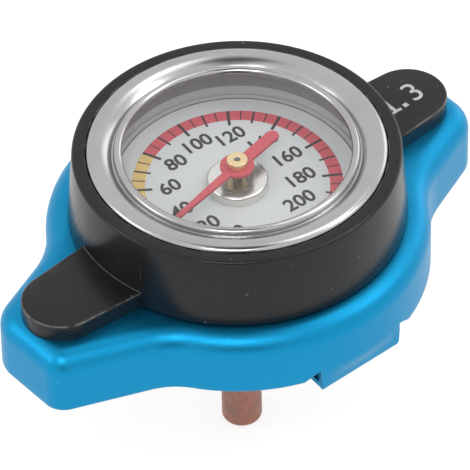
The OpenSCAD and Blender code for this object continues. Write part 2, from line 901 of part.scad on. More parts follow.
// Bell that holds the spring, with a turned-in lip as the valve's stop and four windows in its wall
module spring_cage() {
    window_z = brim_top + pressure_lift;
    color("#b3a06a")
        difference() {
            rotate_extrude()
                polygon([
                    [bush_hole_r, cage_z],
                    [cage_r - cage_t, cage_z],
                    [cage_r, cage_z - cage_t],
                    [cage_r, cage_lip_z],
                    [carrier_r + free_play, cage_lip_z],
                    [carrier_r + free_play, cage_lip_z + cage_t],
                    [cage_inner_r, cage_lip_z + cage_t],
                    [cage_inner_r, cage_z - cage_t],
                    [bush_hole_r, cage_z - cage_t]
                ]);
            for (a = [45:90:315])
                rotate([0, 0, a])
                    translate([carrier_r, -cage_window_w / 2, window_z])
                        cube([cage_r, cage_window_w, -gasket_t - window_z]);
        }
}

module pressure_spring() {
    color("#8f9295")
        swept_solid(helix_rings(
            spring_r, brim_top + spring_wire / 2 + fit_play,
            washer_z - brim_top - spring_wire - 2 * fit_play,
            spring_turns, wire_section(spring_wire)
        ));
}

module valve_carrier() {
    vent_ring_r = (sleeve_r + hole_play + flow_r) / 2;
    color("#b3a06a")
        difference() {
            rotate_extrude()
                polygon([
                    [sleeve_r + hole_play, carrier_z],
                    [carrier_r, carrier_z],
                    [carrier_r, brim_z],
                    [cage_inner_r - free_play, brim_z],
                    [cage_inner_r - free_play, brim_top],
                    [carrier_r - carrier_t, brim_top],
                    [carrier_r - carrier_t, carrier_z + carrier_t],
                    [sleeve_r + hole_play, carrier_z + carrier_t]
                ]);
            for (a = [0:60:300])
                rotate([0, 0, a])
                    translate([vent_ring_r, 0, carrier_z - cut_over])
                        cylinder(d = vent_d, h = carrier_t + 2 * cut_over);
        }
}

module pressure_plate() {
    color("#b3a06a")
        ring(seal_d / 2 - plate_inset, flow_r, plate_z, plate_t);
}

// Rubber washer with a raised bead round its face
module pressure_seal() {
    color("#1f1f1f")
        difference() {
            ring(seal_d / 2, flow_r, seal_z, seal_t);
            ring(seal_d / 2 - bead_w, vacuum_d / 2 + free_play, seal_z - cut_over, bead_h + cut_over);
        }
}

module vacuum_valve() {
    groove_r = probe_seal_r + probe_seal_t / 2 + fit_play;
    groove_z = vacuum_z + vacuum_t;
    groove_h = probe_seal_t + 2 * fit_play;
    color("#b3a06a")
        rotate_extrude()
            polygon([
                [sleeve_bore_r, vacuum_z],
                [vacuum_d / 2, vacuum_z],
                [vacuum_d / 2, vacuum_z + vacuum_t],
                [sleeve_r, vacuum_z + vacuum_t],
                [sleeve_r, sleeve_top],
                [sleeve_bore_r, sleeve_top],
                [sleeve_bore_r, groove_z + groove_h],
                [groove_r, groove_z + groove_h],
                [groove_r, groove_z],
                [sleeve_bore_r, groove_z]
            ]);
}

module probe_seal() {
    color("#1c1c1c")
        rubber_ring(probe_seal_r, probe_seal_t, vacuum_z + vacuum_t + fit_play + probe_seal_t / 2);
}

module vacuum_spring() {
    color("#8f9295")
        swept_solid(helix_rings(
            vacuum_spring_d / 2, vacuum_spring_z + vacuum_wire / 2 + fit_play,
            vacuum_spring_h - vacuum_wire - 2 * fit_play,
            vacuum_turns, wire_section(vacuum_wire)
        ));
}

module vacuum_clip() {
    color("#9a9da0")
        ring(clip_d / 2, sleeve_r + fit_play, clip_z, clip_t);
}

echo(
    "least gap between turns",
    pressure_spring = least_gap(
        helix_path(spring_r, 0, washer_z - brim_top - spring_wire, spring_turns), spring_wire
    ),
    vacuum_spring = least_gap(
        helix_path(vacuum_spring_d / 2, 0, vacuum_spring_h - vacuum_wire, vacuum_turns), vacuum_wire
    ),
    bimetal_coil = least_gap(helix_path(coil_d / 2, 0, coil_turns * coil_pitch, coil_turns), coil_strip_w)
);

cap_cover();
gauge_housing();
stem_seal();
bezel_ring();
lens();
lens_seal();
gauge_can();
dial_plate();
dial_collar();
stem_bush();
probe_tube();
guide_bush();
coil_anchor();
bimetal_coil();
coil_collar();
spindle();
pointer();
pointer_hub();
clamp_washer();
clamp_nut();
diaphragm();
neck_gasket();
spring_cage();
pressure_spring();
valve_carrier();
pressure_plate();
pressure_seal();
vacuum_valve();
probe_seal();
vacuum_spring();
vacuum_clip();
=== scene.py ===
"""Looks of a filler cap with a dial thermometer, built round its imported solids.

Each class builds one sub-assembly in millimetres and hands its pieces to the frame in metres.
Z is up along the probe, X runs along the ears, and the origin is where the gasket meets the neck.
"""

import logging
import math
from dataclasses import dataclass
from enum import Enum
from functools import cache
from typing import Iterable, Optional, Sequence, Union

import bmesh
import bpy
from mathutils import Matrix, Vector


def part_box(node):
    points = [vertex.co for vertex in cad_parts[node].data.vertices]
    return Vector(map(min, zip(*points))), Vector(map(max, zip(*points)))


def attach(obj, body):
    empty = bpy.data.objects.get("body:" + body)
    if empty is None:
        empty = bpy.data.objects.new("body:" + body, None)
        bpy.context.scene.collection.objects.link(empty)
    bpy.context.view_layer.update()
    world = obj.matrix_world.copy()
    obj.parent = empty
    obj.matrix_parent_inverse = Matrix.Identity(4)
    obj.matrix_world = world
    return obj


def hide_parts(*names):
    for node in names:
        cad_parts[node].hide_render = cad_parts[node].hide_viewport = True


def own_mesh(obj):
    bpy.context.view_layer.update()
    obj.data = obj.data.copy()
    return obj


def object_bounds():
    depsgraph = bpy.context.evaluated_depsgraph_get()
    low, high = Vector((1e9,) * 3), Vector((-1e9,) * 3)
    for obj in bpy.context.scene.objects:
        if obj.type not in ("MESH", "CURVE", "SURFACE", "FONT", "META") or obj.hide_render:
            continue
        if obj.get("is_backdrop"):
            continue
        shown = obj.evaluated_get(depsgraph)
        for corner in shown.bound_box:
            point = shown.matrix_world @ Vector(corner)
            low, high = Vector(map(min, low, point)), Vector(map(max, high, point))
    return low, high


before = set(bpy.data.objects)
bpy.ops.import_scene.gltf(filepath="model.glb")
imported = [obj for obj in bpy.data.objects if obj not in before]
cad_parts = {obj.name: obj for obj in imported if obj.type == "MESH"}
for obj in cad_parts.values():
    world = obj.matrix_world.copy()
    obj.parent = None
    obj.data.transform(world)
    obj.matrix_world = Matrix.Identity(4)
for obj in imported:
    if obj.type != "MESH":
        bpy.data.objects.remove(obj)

MM = 0.001
LOG = logging.getLogger("filler_cap")

Point = tuple[float, float, float]
Flat = tuple[float, float]
Sizes = tuple[float, float, float]
Colour = tuple[float, float, float]
# A point of the cover's outline, with the direction of its outward normal in degrees
Column = tuple[Vector, float]
Value = Union[float, tuple, bpy.types.NodeSocket]


class Body(Enum):
    """Bodies of the part that move on their own."""

    CAP = "cap"
    POINTER = "pointer"
    PRESSURE = "pressure_valve"
    VACUUM = "vacuum_valve"


class Cut(Enum):
    """Ways to combine two closed solids."""

    ADD = "UNION"
    TAKE_AWAY = "DIFFERENCE"


class Grain(Enum):
    """Which way the fine detail of a surface runs."""

    EVEN = "even"
    TURNED = "turned"


class Edge(Enum):
    """What a stretch of the cover's lower edge is."""

    SKIRT = "skirt"
    LUG = "lug"


class Turn(Enum):
    """Steps of a full turn, more where a piece is large or seen from close by."""

    DRILL = 24
    SMALL = 96
    CUT = 128
    PLAIN = 160
    FINE = 200
    BEZEL = 240


@dataclass(frozen=True)
class NodeBox:
    """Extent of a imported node, in millimetres."""

    low: Vector
    high: Vector

    @classmethod
    def of(cls, node: str) -> "NodeBox":
        """Reads a node's extent.

        Args:
            node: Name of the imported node.

        Returns:
            Its extent in millimetres.
        """
        low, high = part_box(node)
        return cls(low / MM, high / MM)

    @property
    def radius(self) -> float:
        """Radius of a node that is round about the axis."""
        return self.high.y

    @property
    def bottom(self) -> float:
        """Height of the lowest point."""
        return self.low.z

    @property
    def top(self) -> float:
        """Height of the highest point."""
        return self.high.z


class Draft:
    """Points and faces of one piece, in millimetres."""

    # Lengths in units of the draft, and an angle in degrees
    MERGE_WITHIN = 1e-4
    SLIVER_BELOW = 1e-5
    SHARP_FROM = 32.0

    def __init__(self) -> None:
        """Starts with nothing."""
        self.points: list[Point] = []
        self.faces: list[tuple[int, ...]] = []

    def row(self, points: Iterable[Sequence[float]]) -> list[int]:
        """Adds a row of points.

        Args:
            points: The points, in order.

        Returns:
            Their numbers.
        """
        start = len(self.points)
        self.points.extend(tuple(p) for p in points)
        return list(range(start, len(self.points)))

    def bridge(self, first: Sequence[int], second: Sequence[int], closed: bool = True) -> None:
        """Joins two rows of as many points by quads.

        Args:
            first: Numbers of the one row.
            second: Numbers of the other row.
            closed: Whether the rows are loops.
        """
        count = len(first)
        for i in range(count if closed else count - 1):
            j = (i + 1) % count
            self.faces.append((first[i], first[j], second[j], second[i]))

    def loft(self, rows: Sequence[Iterable[Sequence[float]]], around: bool = False) -> "Draft":
        """Skins a list of loops.

        Args:
            rows: The loops, each with as many points.
            around: Whether the last loop joins the first. Otherwise both ends are capped.

        Returns:
            This draft.
        """
        loops = [self.row(points) for points in rows]
        for first, second in zip(loops, loops[1:]):
            self.bridge(first, second)
        if around:
            self.bridge(loops[-1], loops[0])
        else:
            self.faces += [tuple(loops[0]), tuple(reversed(loops[-1]))]
        return self

    def add(self, other: "Draft") -> "Draft":
        """Takes over the points and faces of another draft.

        Args:
            other: The draft to take them from.

        Returns:
            This draft.
        """
        start = len(self.points)
        self.points += other.points
        self.faces += [tuple(i + start for i in face) for face in other.faces]
        return self

    def moved(self, matrix: Matrix) -> "Draft":
        """Moves every point by a matrix and returns this draft."""
        self.points = [tuple(matrix @ Vector(p)) for p in self.points]
        return self

    @classmethod
    def from_mesh(cls, mesh: bpy.types.Mesh) -> "Draft":
        """Reads a mesh that is in millimetres.

        Args:
            mesh: The mesh.

        Returns:
            Its points and faces.
        """
        draft = cls()
        draft.points = [tuple(v.co) for v in mesh.vertices]
        draft.faces = [tuple(p.vertices) for p in mesh.polygons]
        return draft

    def to_object(self, name: str, unit: float = MM) -> bpy.types.Object:
        """Makes a clean, smoothly shaded mesh object with a mark on its edges.

        Args:
            name: Name of the object.
            unit: Length of one unit of the draft, in metres.

        Returns:
            The new object, in the scene.
        """
        mesh = bpy.data.meshes.new(name)
        mesh.from_pydata([Vector(p) * unit for p in self.points], [], self.faces)
        work = bmesh.new()
        work.from_mesh(mesh)
        bmesh.ops.remove_doubles(work, verts=work.verts, dist=self.MERGE_WITHIN * unit)
        bmesh.ops.dissolve_degenerate(work, edges=work.edges, dist=self.SLIVER_BELOW * unit)
        bmesh.ops.recalc_face_normals(work, faces=work.faces)
        mark_edges(work)
        work.to_mesh(mesh)
        work.free()
        mesh.shade_smooth()
        mesh.set_sharp_from_angle(angle=math.radians(self.SHARP_FROM))
        piece = bpy.data.objects.new(name, mesh)
        bpy.context.scene.collection.objects.link(piece)
        return piece


def mark_edges(work: bmesh.types.BMesh) -> None:
    """Writes to the vertex attribute "edge" how sharply a surface turns outwards, from 0 to 1.

    Edges that look down are left out, because nothing rubs them.

    Args:
        work: The mesh to mark.
    """
    from_angle, to_angle = math.radians(12), math.radians(22)
    looks_down = -0.2
    work.normal_update()
    layer = work.verts.layers.float.new("edge")
    for vertex in work.verts:
        turns = []
        for edge in vertex.link_edges:
            faces = edge.link_faces
            if len(faces) == 2 and sum(f.normal.z for f in faces) > looks_down:
                turns.append(edge.calc_face_angle_signed(0.0))
        sharpest = max(turns, default=0.0)
        vertex[layer] = min(max((sharpest - from_angle) / (to_angle - from_angle), 0.0), 1.0)


def arc(middle: Flat, radius: float, start: float, end: float, steps: int) -> list[Flat]:
    """Points of an arc.

    Args:
        middle: Centre of the arc.
        radius: Its radius.
        start: First angle, in degrees.
        end: Last angle, in degrees.
        steps: Number of steps between them.

    Returns:
        The points, both ends among them.
    """
    angles = [math.radians(start + (end - start) * i / steps) for i in range(steps + 1)]
    return [(middle[0] + radius * math.cos(a), middle[1] + radius * math.sin(a)) for a in angles]


def soften(profile: Sequence[Flat], radius: float, steps: int = 4) -> list[Flat]:
    """Rounds the corners of a closed profile, apart from those on the axis.

    Args:
        profile: Corners as distances from the axis and heights.
        radius: How far a corner is cut back along its sides.
        steps: Steps of each rounded corner.

    Returns:
        The rounded profile.
    """
    nearly_flat, on_axis, side_share = math.radians(150), 1e-6, 0.45
    result: list[Flat] = []
    for i, corner in enumerate(profile):
        here = Vector(corner)
        back = Vector(profile[i - 1]) - here
        ahead = Vector(profile[(i + 1) % len(profile)]) - here
        if back.angle(ahead, math.pi) > nearly_flat or here.x < on_axis:
            result.append(tuple(here))
            continue
        reach = min(radius, side_share * back.length, side_share * ahead.length)
        first, last = here + back.normalized() * reach, here + ahead.normalized() * reach
        for k in range(steps + 1):
            t = k / steps
            result.append(tuple(first * (1 - t) ** 2 + here * 2 * t * (1 - t) + last * t ** 2))
    return result


def revolve(profile: Sequence[Flat], turn: Turn = Turn.PLAIN) -> Draft:
    """Turns a closed profile about the axis.

    Args:
        profile: Corners as distances from the axis and heights.
        turn: How fine the turn is.

    Returns:
        The turned solid.
    """
    steps = turn.value
    angles = [2 * math.pi * i / steps for i in range(steps)]
    rows = [[(r * math.cos(a), r * math.sin(a), z) for a in angles] for r, z in profile]
    return Draft().loft(rows, around=True)


def ring_profile(outer: float, inner: float, bottom: float, top: float) -> list[Flat]:
    """Corners of a flat ring's profile."""
    return [(inner, bottom), (outer, bottom), (outer, top), (inner, top)]


def inset(outline: Sequence[Flat], amount: float) -> list[Flat]:
    """Moves a counter-clockwise outline inwards.

    Args:
        outline: The outline's points.
        amount: How far each point moves.

    Returns:
        The moved points.
    """
    result = []
    for i, point in enumerate(outline):
        here = Vector(point)
        along = (here - Vector(outline[i - 1])).normalized()
        along += (Vector(outline[(i + 1) % len(outline)]) - here).normalized()
        normal = Vector((-along.y, along.x)).normalized()
        result.append(tuple(here + normal * amount))
    return result


def plate(outline: Sequence[Flat], bottom: float, top: float, bevel: float, steps: int = 4) -> Draft:
    """A flat piece with a rounded upper edge.

    Args:
        outline: Its outline, counter-clockwise.
        bottom: Height of its lower face.
        top: Height of its upper face.
        bevel: Radius of the upper edge.
        steps: Steps of that edge.

    Returns:
        The closed piece.
    """
    # A row a little below the bevel keeps the shading of the side even
    lead = 1.5
    rows = [[(x, y, z) for x, y in outline] for z in (bottom, max(bottom, top - lead * bevel))]
    for k in range(steps + 1):
        a = math.pi / 2 * k / steps
        ring = inset(outline, bevel * (1 - math.cos(a)))
        rows.append([(x, y, top - bevel + bevel * math.sin(a)) for x, y in ring])
    return Draft().loft(rows)


def block(low: Sequence[float], high: Sequence[float]) -> Draft:
    """A plain box between two corners."""
    corners = [(low[0], low[1]), (high[0], low[1]), (high[0], high[1]), (low[0], high[1])]
    return Draft().loft([[(x, y, z) for x, y in corners] for z in (low[2], high[2])])


def winding(radius: float, bottom: float, top: float, turns: float, section: Sequence[Flat]) -> Draft:
    """A wire or strip wound about the axis.

    Args:
        radius: Radius of the winding at the middle of its section.
        bottom: Height of the section's middle at the lower end.
        top: Height of the section's middle at the upper end.
        turns: Number of turns.
        section: Points of the section, out from the axis and along it.

    Returns:
        The closed tube.
    """
    steps_per_turn = 48
    count = round(steps_per_turn * turns)
    slope = math.atan2((top - bottom) / turns, 2 * math.pi * radius)
    rows = []
    for i in range(count + 1):
        a = 2 * math.pi * i / steps_per_turn
        out = Vector((math.cos(a), math.sin(a), 0))
        along = Vector((math.sin(slope) * math.sin(a), -math.sin(slope) * math.cos(a), math.cos(slope)))
        middle = radius * out + Vector((0, 0, bottom + (top - bottom) * i / count))
        rows.append([middle + x * out + y * along for x, y in section])
    return Draft().loft(rows)


def combine(base: Draft, others: Sequence[Draft], cut: Cut) -> Draft:
    """Adds closed drafts to a closed draft, or takes them away.

    Args:
        base: The draft to change.
        others: The drafts that are added or taken away.
        cut: Which of the two.

    Returns:
        The new draft.
    """
    target = base.to_object("base", unit=1.0)
    tools = [draft.to_object("tool", unit=1.0) for draft in others]
    for tool in tools:
        modifier = target.modifiers.new("cut", "BOOLEAN")
        modifier.operation = cut.value
        modifier.solver = "EXACT"
        modifier.object = tool
    evaluated = target.evaluated_get(bpy.context.evaluated_depsgraph_get())
    mesh = bpy.data.meshes.new_from_object(evaluated)
    result = Draft.from_mesh(mesh)
    bpy.data.meshes.remove(mesh)
    for leftover in [target, *tools]:
        bpy.data.meshes.remove(leftover.data)
    return result


def number(text: str, height: float, thickness: float, weight: float = 0.0) -> Draft:
    """A plain printed number, centred on the origin.

    Args:
        text: The digits.
        height: Height of a digit.
        thickness: Thickness of the print, up from the origin.
        weight: How far the strokes are thickened, as a share of the height.

    Returns:
        The closed letters.
    """
    half_depth, steps = 0.5, 5
    curve = bpy.data.curves.new("number", "FONT")
    curve.body = text
    curve.resolution_u = steps
    curve.offset = weight
    curve.extrude = half_depth
    writing = bpy.data.objects.new("number", curve)
    bpy.context.scene.collection.objects.link(writing)
    evaluated = writing.evaluated_get(bpy.context.evaluated_depsgraph_get())
    mesh = bpy.data.meshes.new_from_object(evaluated)
    draft = Draft.from_mesh(mesh)
    bpy.data.meshes.remove(mesh)
    bpy.data.objects.remove(writing)
    bpy.data.curves.remove(curve)
    across = [p[0] for p in draft.points]
    upright = [p[1] for p in draft.points]
    scale = height / (max(upright) - min(upright))
    middle = Vector(((min(across) + max(across)) / 2, (min(upright) + max(upright)) / 2, -half_depth))
    size = Matrix.Diagonal((scale, scale, thickness, 1.0))
    return draft.moved(size @ Matrix.Translation(-middle))


class Graph:
    """Adds nodes to a shader tree and joins them."""

    def __init__(self, tree: bpy.types.NodeTree) -> None:
        """Works on a tree."""
        self.tree = tree

    def node(self, kind: str, **settings: object) -> bpy.types.Node:
        """Adds a node.

        Args:
            kind: The node's type.
            **settings: Properties to set on it.

        Returns:
            The node.
        """
        node = self.tree.nodes.new(kind)
        for key, setting in settings.items():
            setattr(node, key, setting)
        return node

    def feed(self, socket: bpy.types.NodeSocket, value: Value) -> None:
        """Links an output to a socket, or sets the socket's own value.

        Args:
            socket: The input to feed.
            value: An output, or a plain value. A colour may leave its alpha out.
        """
        if isinstance(value, bpy.types.NodeSocket):
            self.tree.links.new(value, socket)
        elif isinstance(value, tuple) and len(value) == 3 and len(socket.default_value) == 4:
            socket.default_value = (*value, 1.0)
        else:
            socket.default_value = value

    def math(self, operation: str, first: Value, second: Value = 0.0) -> bpy.types.NodeSocket:
        """Adds a Math node.

        Args:
            operation: What it does.
            first: Its first input.
            second: Its second input, where the operation needs one.

        Returns:
            Its output.
        """
        node = self.node("ShaderNodeMath", operation=operation)
        self.feed(node.inputs[0], first)
        self.feed(node.inputs[1], second)
        return node.outputs[0]

    def mix(self, factor: Value, first: Value, second: Value) -> bpy.types.NodeSocket:
        """Mixes two colours.

        Args:
            factor: Share of the second colour.
            first: The first colour.
            second: The second colour.

        Returns:
            The mixed colour.
        """
        node = self.node("ShaderNodeMix", data_type="RGBA")
        sockets = {socket.identifier: socket for socket in node.inputs}
        self.feed(sockets["Factor_Float"], factor)
        self.feed(sockets["A_Color"], first)
        self.feed(sockets["B_Color"], second)
        return next(socket for socket in node.outputs if socket.identifier == "Result_Color")

    def spread(self, value: Value, source: Flat, low: Value, high: Value) -> bpy.types.NodeSocket:
        """Maps a range of values to another, without going past it.

        Args:
            value: The value to map.
            source: The range that it comes from.
            low: What the range's start becomes.
            high: What the range's end becomes.

        Returns:
            The mapped value.
        """
        node = self.node("ShaderNodeMapRange")
        for socket, setting in zip(node.inputs, (value, source[0], source[1], low, high)):
            self.feed(socket, setting)
        return node.outputs[0]

    def place(self) -> bpy.types.NodeSocket:
        """The point of the surface in the part's frame.

        Returns:
            Its place, in millimetres.
        """
        node = self.node("ShaderNodeVectorMath", operation="SCALE")
        self.feed(node.inputs[0], self.node("ShaderNodeTexCoord").outputs["Object"])
        node.inputs["Scale"].default_value = 1 / MM
        return node.outputs[0]

    def split(self, vector: Value) -> bpy.types.NodeOutputs:
        """Separates a vector into its parts.

        Args:
            vector: The vector.

        Returns:
            Outputs for X, Y and Z, by name.
        """
        node = self.node("ShaderNodeSeparateXYZ")
        self.feed(node.inputs[0], vector)
        return node.outputs

    def blend(self, factor: Value, first: Value, second: Value) -> bpy.types.NodeSocket:
        """Mixes two shaders.

        Args:
            factor: Share of the second shader.
            first: The first shader.
            second: The second shader.

        Returns:
            The mixed shader.
        """
        node = self.node("ShaderNodeMixShader")
        for socket, value in zip(node.inputs, (factor, first, second)):
            self.feed(socket, value)
        return node.outputs[0]

    def noise(self, place: Value, scale: Value, detail: float = 3.0) -> bpy.types.NodeSocket:
        """Smooth noise.

        Args:
            place: Where it is read.
            scale: Waves to a millimetre.
            detail: How many finer layers it has.

        Returns:
            The noise, from 0 to 1.
        """
        node = self.node("ShaderNodeTexNoise")
        self.feed(node.inputs["Vector"], place)
        self.feed(node.inputs["Scale"], scale)
        node.inputs["Detail"].default_value = detail
        return node.outputs["Fac"]

    def group(self, tree: bpy.types.NodeTree, **inputs: Value) -> bpy.types.Node:
        """Places a node group.

        Args:
            tree: The group.
            **inputs: Values or links for its inputs, by name.

        Returns:
            The group's node.
        """
        node = self.node("ShaderNodeGroup", node_tree=tree)
        for name, value in inputs.items():
            self.feed(node.inputs[name], value)
        return node


class Effects:
    """Shader effects that several finishes share. Each is a group that is built once.

    A range is the stretch of the noise that is drawn out to the whole effect.
    """

    FLOAT = "NodeSocketFloat"
    COLOUR = "NodeSocketColor"
    GRAIN_RANGE = (0.3, 0.7)
    PATCH_RANGE = (0.35, 0.7)
    RUB_RANGE = (0.42, 0.62)
    CHIP_RANGE = (0.77, 0.8)
    CHIP_SCALE = 2.2
    RING_DRIFT = 0.15

    @staticmethod
    def _group(
        name: str, inputs: dict[str, str], outputs: dict[str, str]
    ) -> tuple[bpy.types.NodeTree, Graph, bpy.types.NodeOutputs, bpy.types.NodeInputs]:
        """Starts a group.

        Args:
            name: The group's name.
            inputs: Kinds of its inputs, by name.
            outputs: Kinds of its outputs, by name.

        Returns:
            The group, its graph, the values that it is given and those that it has to give.
        """
        tree = bpy.data.node_groups.new(name, "ShaderNodeTree")
        for key, kind in inputs.items():
            tree.interface.new_socket(key, in_out="INPUT", socket_type=kind)
        for key, kind in outputs.items():
            tree.interface.new_socket(key, in_out="OUTPUT", socket_type=kind)
        graph = Graph(tree)
        return tree, graph, graph.node("NodeGroupInput").outputs, graph.node("NodeGroupOutput").inputs

    @classmethod
    @cache
    def grain(cls) -> bpy.types.NodeTree:
        """Even noise between two values.

        Returns:
            The group.
        """
        inputs = {"Scale": cls.FLOAT, "Low": cls.FLOAT, "High": cls.FLOAT}
        tree, graph, source, sink = cls._group("surface_grain", inputs, {"Value": cls.FLOAT})
        noise = graph.noise(graph.place(), source["Scale"])
        graph.feed(sink["Value"], graph.spread(noise, cls.GRAIN_RANGE, source["Low"], source["High"]))
        return tree

    @classmethod
    @cache
    def turned_lines(cls) -> bpy.types.NodeTree:
        """Fine rings about the axis, as a lathe or a polishing wheel leaves them.

        Returns:
            The group.
        """
        inputs = {"Scale": cls.FLOAT, "Low": cls.FLOAT, "High": cls.FLOAT}
        tree, graph, source, sink = cls._group("turned_lines", inputs, {"Value": cls.FLOAT})
        place = graph.split(graph.place())
        across = graph.math("POWER", place["X"], 2.0)
        across = graph.math("ADD", across, graph.math("POWER", place["Y"], 2.0))
        rings = graph.node("ShaderNodeCombineXYZ")
        graph.feed(rings.inputs["X"], graph.math("SQRT", across))
        graph.feed(rings.inputs["Y"], place["Z"])
        turn = graph.math("ARCTAN2", place["Y"], place["X"])
        graph.feed(rings.inputs["Z"], graph.math("MULTIPLY", turn, cls.RING_DRIFT))
        lines = graph.noise(rings.outputs[0], source["Scale"], detail=4.0)
        graph.feed(sink["Value"], graph.spread(lines, cls.GRAIN_RANGE, source["Low"], source["High"]))
        return tree

    @classmethod
    @cache
    def tone(cls) -> bpy.types.NodeTree:
        """A colour that drifts towards another in soft patches.

        Returns:
            The group.
        """
        inputs = {"Base": cls.COLOUR, "Tint": cls.COLOUR, "Scale": cls.FLOAT, "Amount": cls.FLOAT}
        tree, graph, source, sink = cls._group("tone_patches", inputs, {"Color": cls.COLOUR})
        noise = graph.noise(graph.place(), source["Scale"])
        patches = graph.spread(noise, cls.PATCH_RANGE, 0.0, source["Amount"])
        graph.feed(sink["Color"], graph.mix(patches, source["Base"], source["Tint"]))
        return tree

    @classmethod
    @cache
    def edge_wear(cls) -> bpy.types.NodeTree:
        """A mask of rubbed edges and of small chips, broken up by noise.

        Returns:
            The group.
        """
        inputs = {"Scale": cls.FLOAT, "Amount": cls.FLOAT, "Chips": cls.FLOAT}
        tree, graph, source, sink = cls._group("edge_wear", inputs, {"Mask": cls.FLOAT})
        place = graph.place()
        edge = graph.node("ShaderNodeAttribute", attribute_name="edge").outputs["Fac"]
        broken = graph.spread(graph.noise(place, source["Scale"]), cls.RUB_RANGE, 0.0, source["Amount"])
        rubbed = graph.math("MULTIPLY", edge, broken)
        chip_noise = graph.noise(place, graph.math("MULTIPLY", source["Scale"], cls.CHIP_SCALE), detail=1.0)
        chips = graph.spread(chip_noise, cls.CHIP_RANGE, 0.0, source["Chips"])
        graph.feed(sink["Mask"], graph.math("MAXIMUM", rubbed, chips))
        return tree


def new_material(name: str) -> tuple[bpy.types.Material, Graph, bpy.types.NodeInputs]:
    """Starts a material.

    Args:
        name: Its name.

    Returns:
        The material, its graph and the inputs of its Principled shader.
    """
    material = bpy.data.materials.new(name)
    material.use_nodes = True
    return material, Graph(material.node_tree), material.node_tree.nodes["Principled BSDF"].inputs


def grey(value: float) -> tuple[float, float, float, float]:
    """A plain grey, with its alpha."""
    return (value, value, value, 1.0)


@dataclass(frozen=True)
class Finish:
    """A solid surface: its colour, its gloss and the fine detail that it carries.

    Scales are in waves to a millimetre and depths in millimetres. A finish may have another colour on the
    faces that look down.
    """

    LOOKS_DOWN = -0.5

    name: str
    colour: Colour
    tint: Colour
    roughness: float
    metallic: float = 0.0
    tint_scale: float = 0.15
    tint_amount: float = 0.6
    roughness_spread: float = 0.06
    grain: Grain = Grain.EVEN
    grain_scale: float = 4.0
    grain_depth: float = 0.004
    specular: float = 0.5
    wear_colour: Optional[Colour] = None
    wear_scale: float = 0.8
    wear: float = 0.0
    chips: float = 0.0
    underside: Optional[Colour] = None

    def material(self) -> bpy.types.Material:
        """Returns the finish's material, built on its first use."""
        return bpy.data.materials.get(self.name) or self._build()

    def _build(self) -> bpy.types.Material:
        """Builds the material.

        Returns:
            The new material.
        """
        material, graph, shader = new_material(self.name)
        shader["Metallic"].default_value = self.metallic
        shader["Specular IOR Level"].default_value = self.specular
        colour = graph.group(
            Effects.tone(), Base=self.colour, Tint=self.tint, Scale=self.tint_scale, Amount=self.tint_amount
        ).outputs["Color"]
        if self.wear_colour is not None:
            mask = graph.group(
                Effects.edge_wear(), Scale=self.wear_scale, Amount=self.wear, Chips=self.chips
            ).outputs["Mask"]
            colour = graph.mix(mask, colour, self.wear_colour)
        if self.underside is not None:
            normal = graph.split(graph.node("ShaderNodeNewGeometry").outputs["Normal"])
            below = graph.math("LESS_THAN", normal["Z"], self.LOOKS_DOWN)
            colour = graph.mix(below, colour, self.underside)
        graph.feed(shader["Base Color"], colour)
        pattern = Effects.turned_lines() if self.grain is Grain.TURNED else Effects.grain()
        gloss = graph.group(
            pattern,
            Scale=self.grain_scale,
            Low=self.roughness - self.roughness_spread,
            High=self.roughness + self.roughness_spread,
        )
        graph.feed(shader["Roughness"], gloss.outputs["Value"])
        relief = graph.group(pattern, Scale=self.grain_scale, Low=0.0, High=1.0)
        bump = graph.node("ShaderNodeBump")
        bump.inputs["Distance"].default_value = self.grain_depth * MM
        graph.feed(bump.inputs["Height"], relief.outputs["Value"])
        graph.feed(shader["Normal"], bump.outputs["Normal"])
        return material


@dataclass(frozen=True)
class Glass:
    """Clear glass with faint smears on its face."""

    name: str
    colour: Colour = (0.97, 0.98, 0.98)
    ior: float = 1.5
    mirror: float = 0.25
    smear: float = 0.03
    smear_scale: float = 0.12

    def material(self) -> bpy.types.Material:
        """Returns the glass's material, built on its first use."""
        return bpy.data.materials.get(self.name) or self._build()

    def _build(self) -> bpy.types.Material:
        """Builds the material.

        Returns:
            The new material.
        """
        material, graph, shader = new_material(self.name)
        shader["Base Color"].default_value = (*self.colour, 1.0)
        shader["Transmission Weight"].default_value = 1.0
        shader["IOR"].default_value = self.ior
        shader["Specular Tint"].default_value = grey(self.mirror)
        smears = graph.group(Effects.grain(), Scale=self.smear_scale, Low=0.0, High=self.smear)
        graph.feed(shader["Roughness"], smears.outputs["Value"])
        return material


BLUE = Finish(
    "blue_satin", (0.0095, 0.262, 0.5), (0.0125, 0.281, 0.53), roughness=0.42, metallic=1.0,
    tint_scale=0.06, grain_scale=5.0, grain_depth=0.003, wear_colour=(0.08, 0.36, 0.6), wear_scale=0.6,
    chips=0.4,
)
BLACK = Finish(
    "black_satin", (0.008, 0.008, 0.008), (0.012, 0.012, 0.012), roughness=0.25, roughness_spread=0.05,
    grain_scale=3.0, grain_depth=0.002, specular=0.3, wear_colour=(0.22, 0.216, 0.212), wear_scale=0.45,
    wear=0.5, chips=0.3,
)
BEZEL = Finish(
    "bezel_polish", (0.42, 0.416, 0.412), (0.49, 0.486, 0.482), roughness=0.22, metallic=1.0,
    roughness_spread=0.05, grain=Grain.TURNED, grain_scale=3.5, grain_depth=0.0025, tint_scale=0.2,
)
CAN = Finish(
    "can_satin", (0.47, 0.475, 0.478), (0.52, 0.525, 0.528), roughness=0.45, metallic=0.3,
    grain=Grain.TURNED, grain_scale=4.0, grain_depth=0.003,
)
DIAL_PAINT = Finish(
    "dial_white", (0.58, 0.592, 0.596), (0.6, 0.611, 0.615), roughness=0.5, grain_scale=6.0,
    grain_depth=0.001, specular=0.2,
)
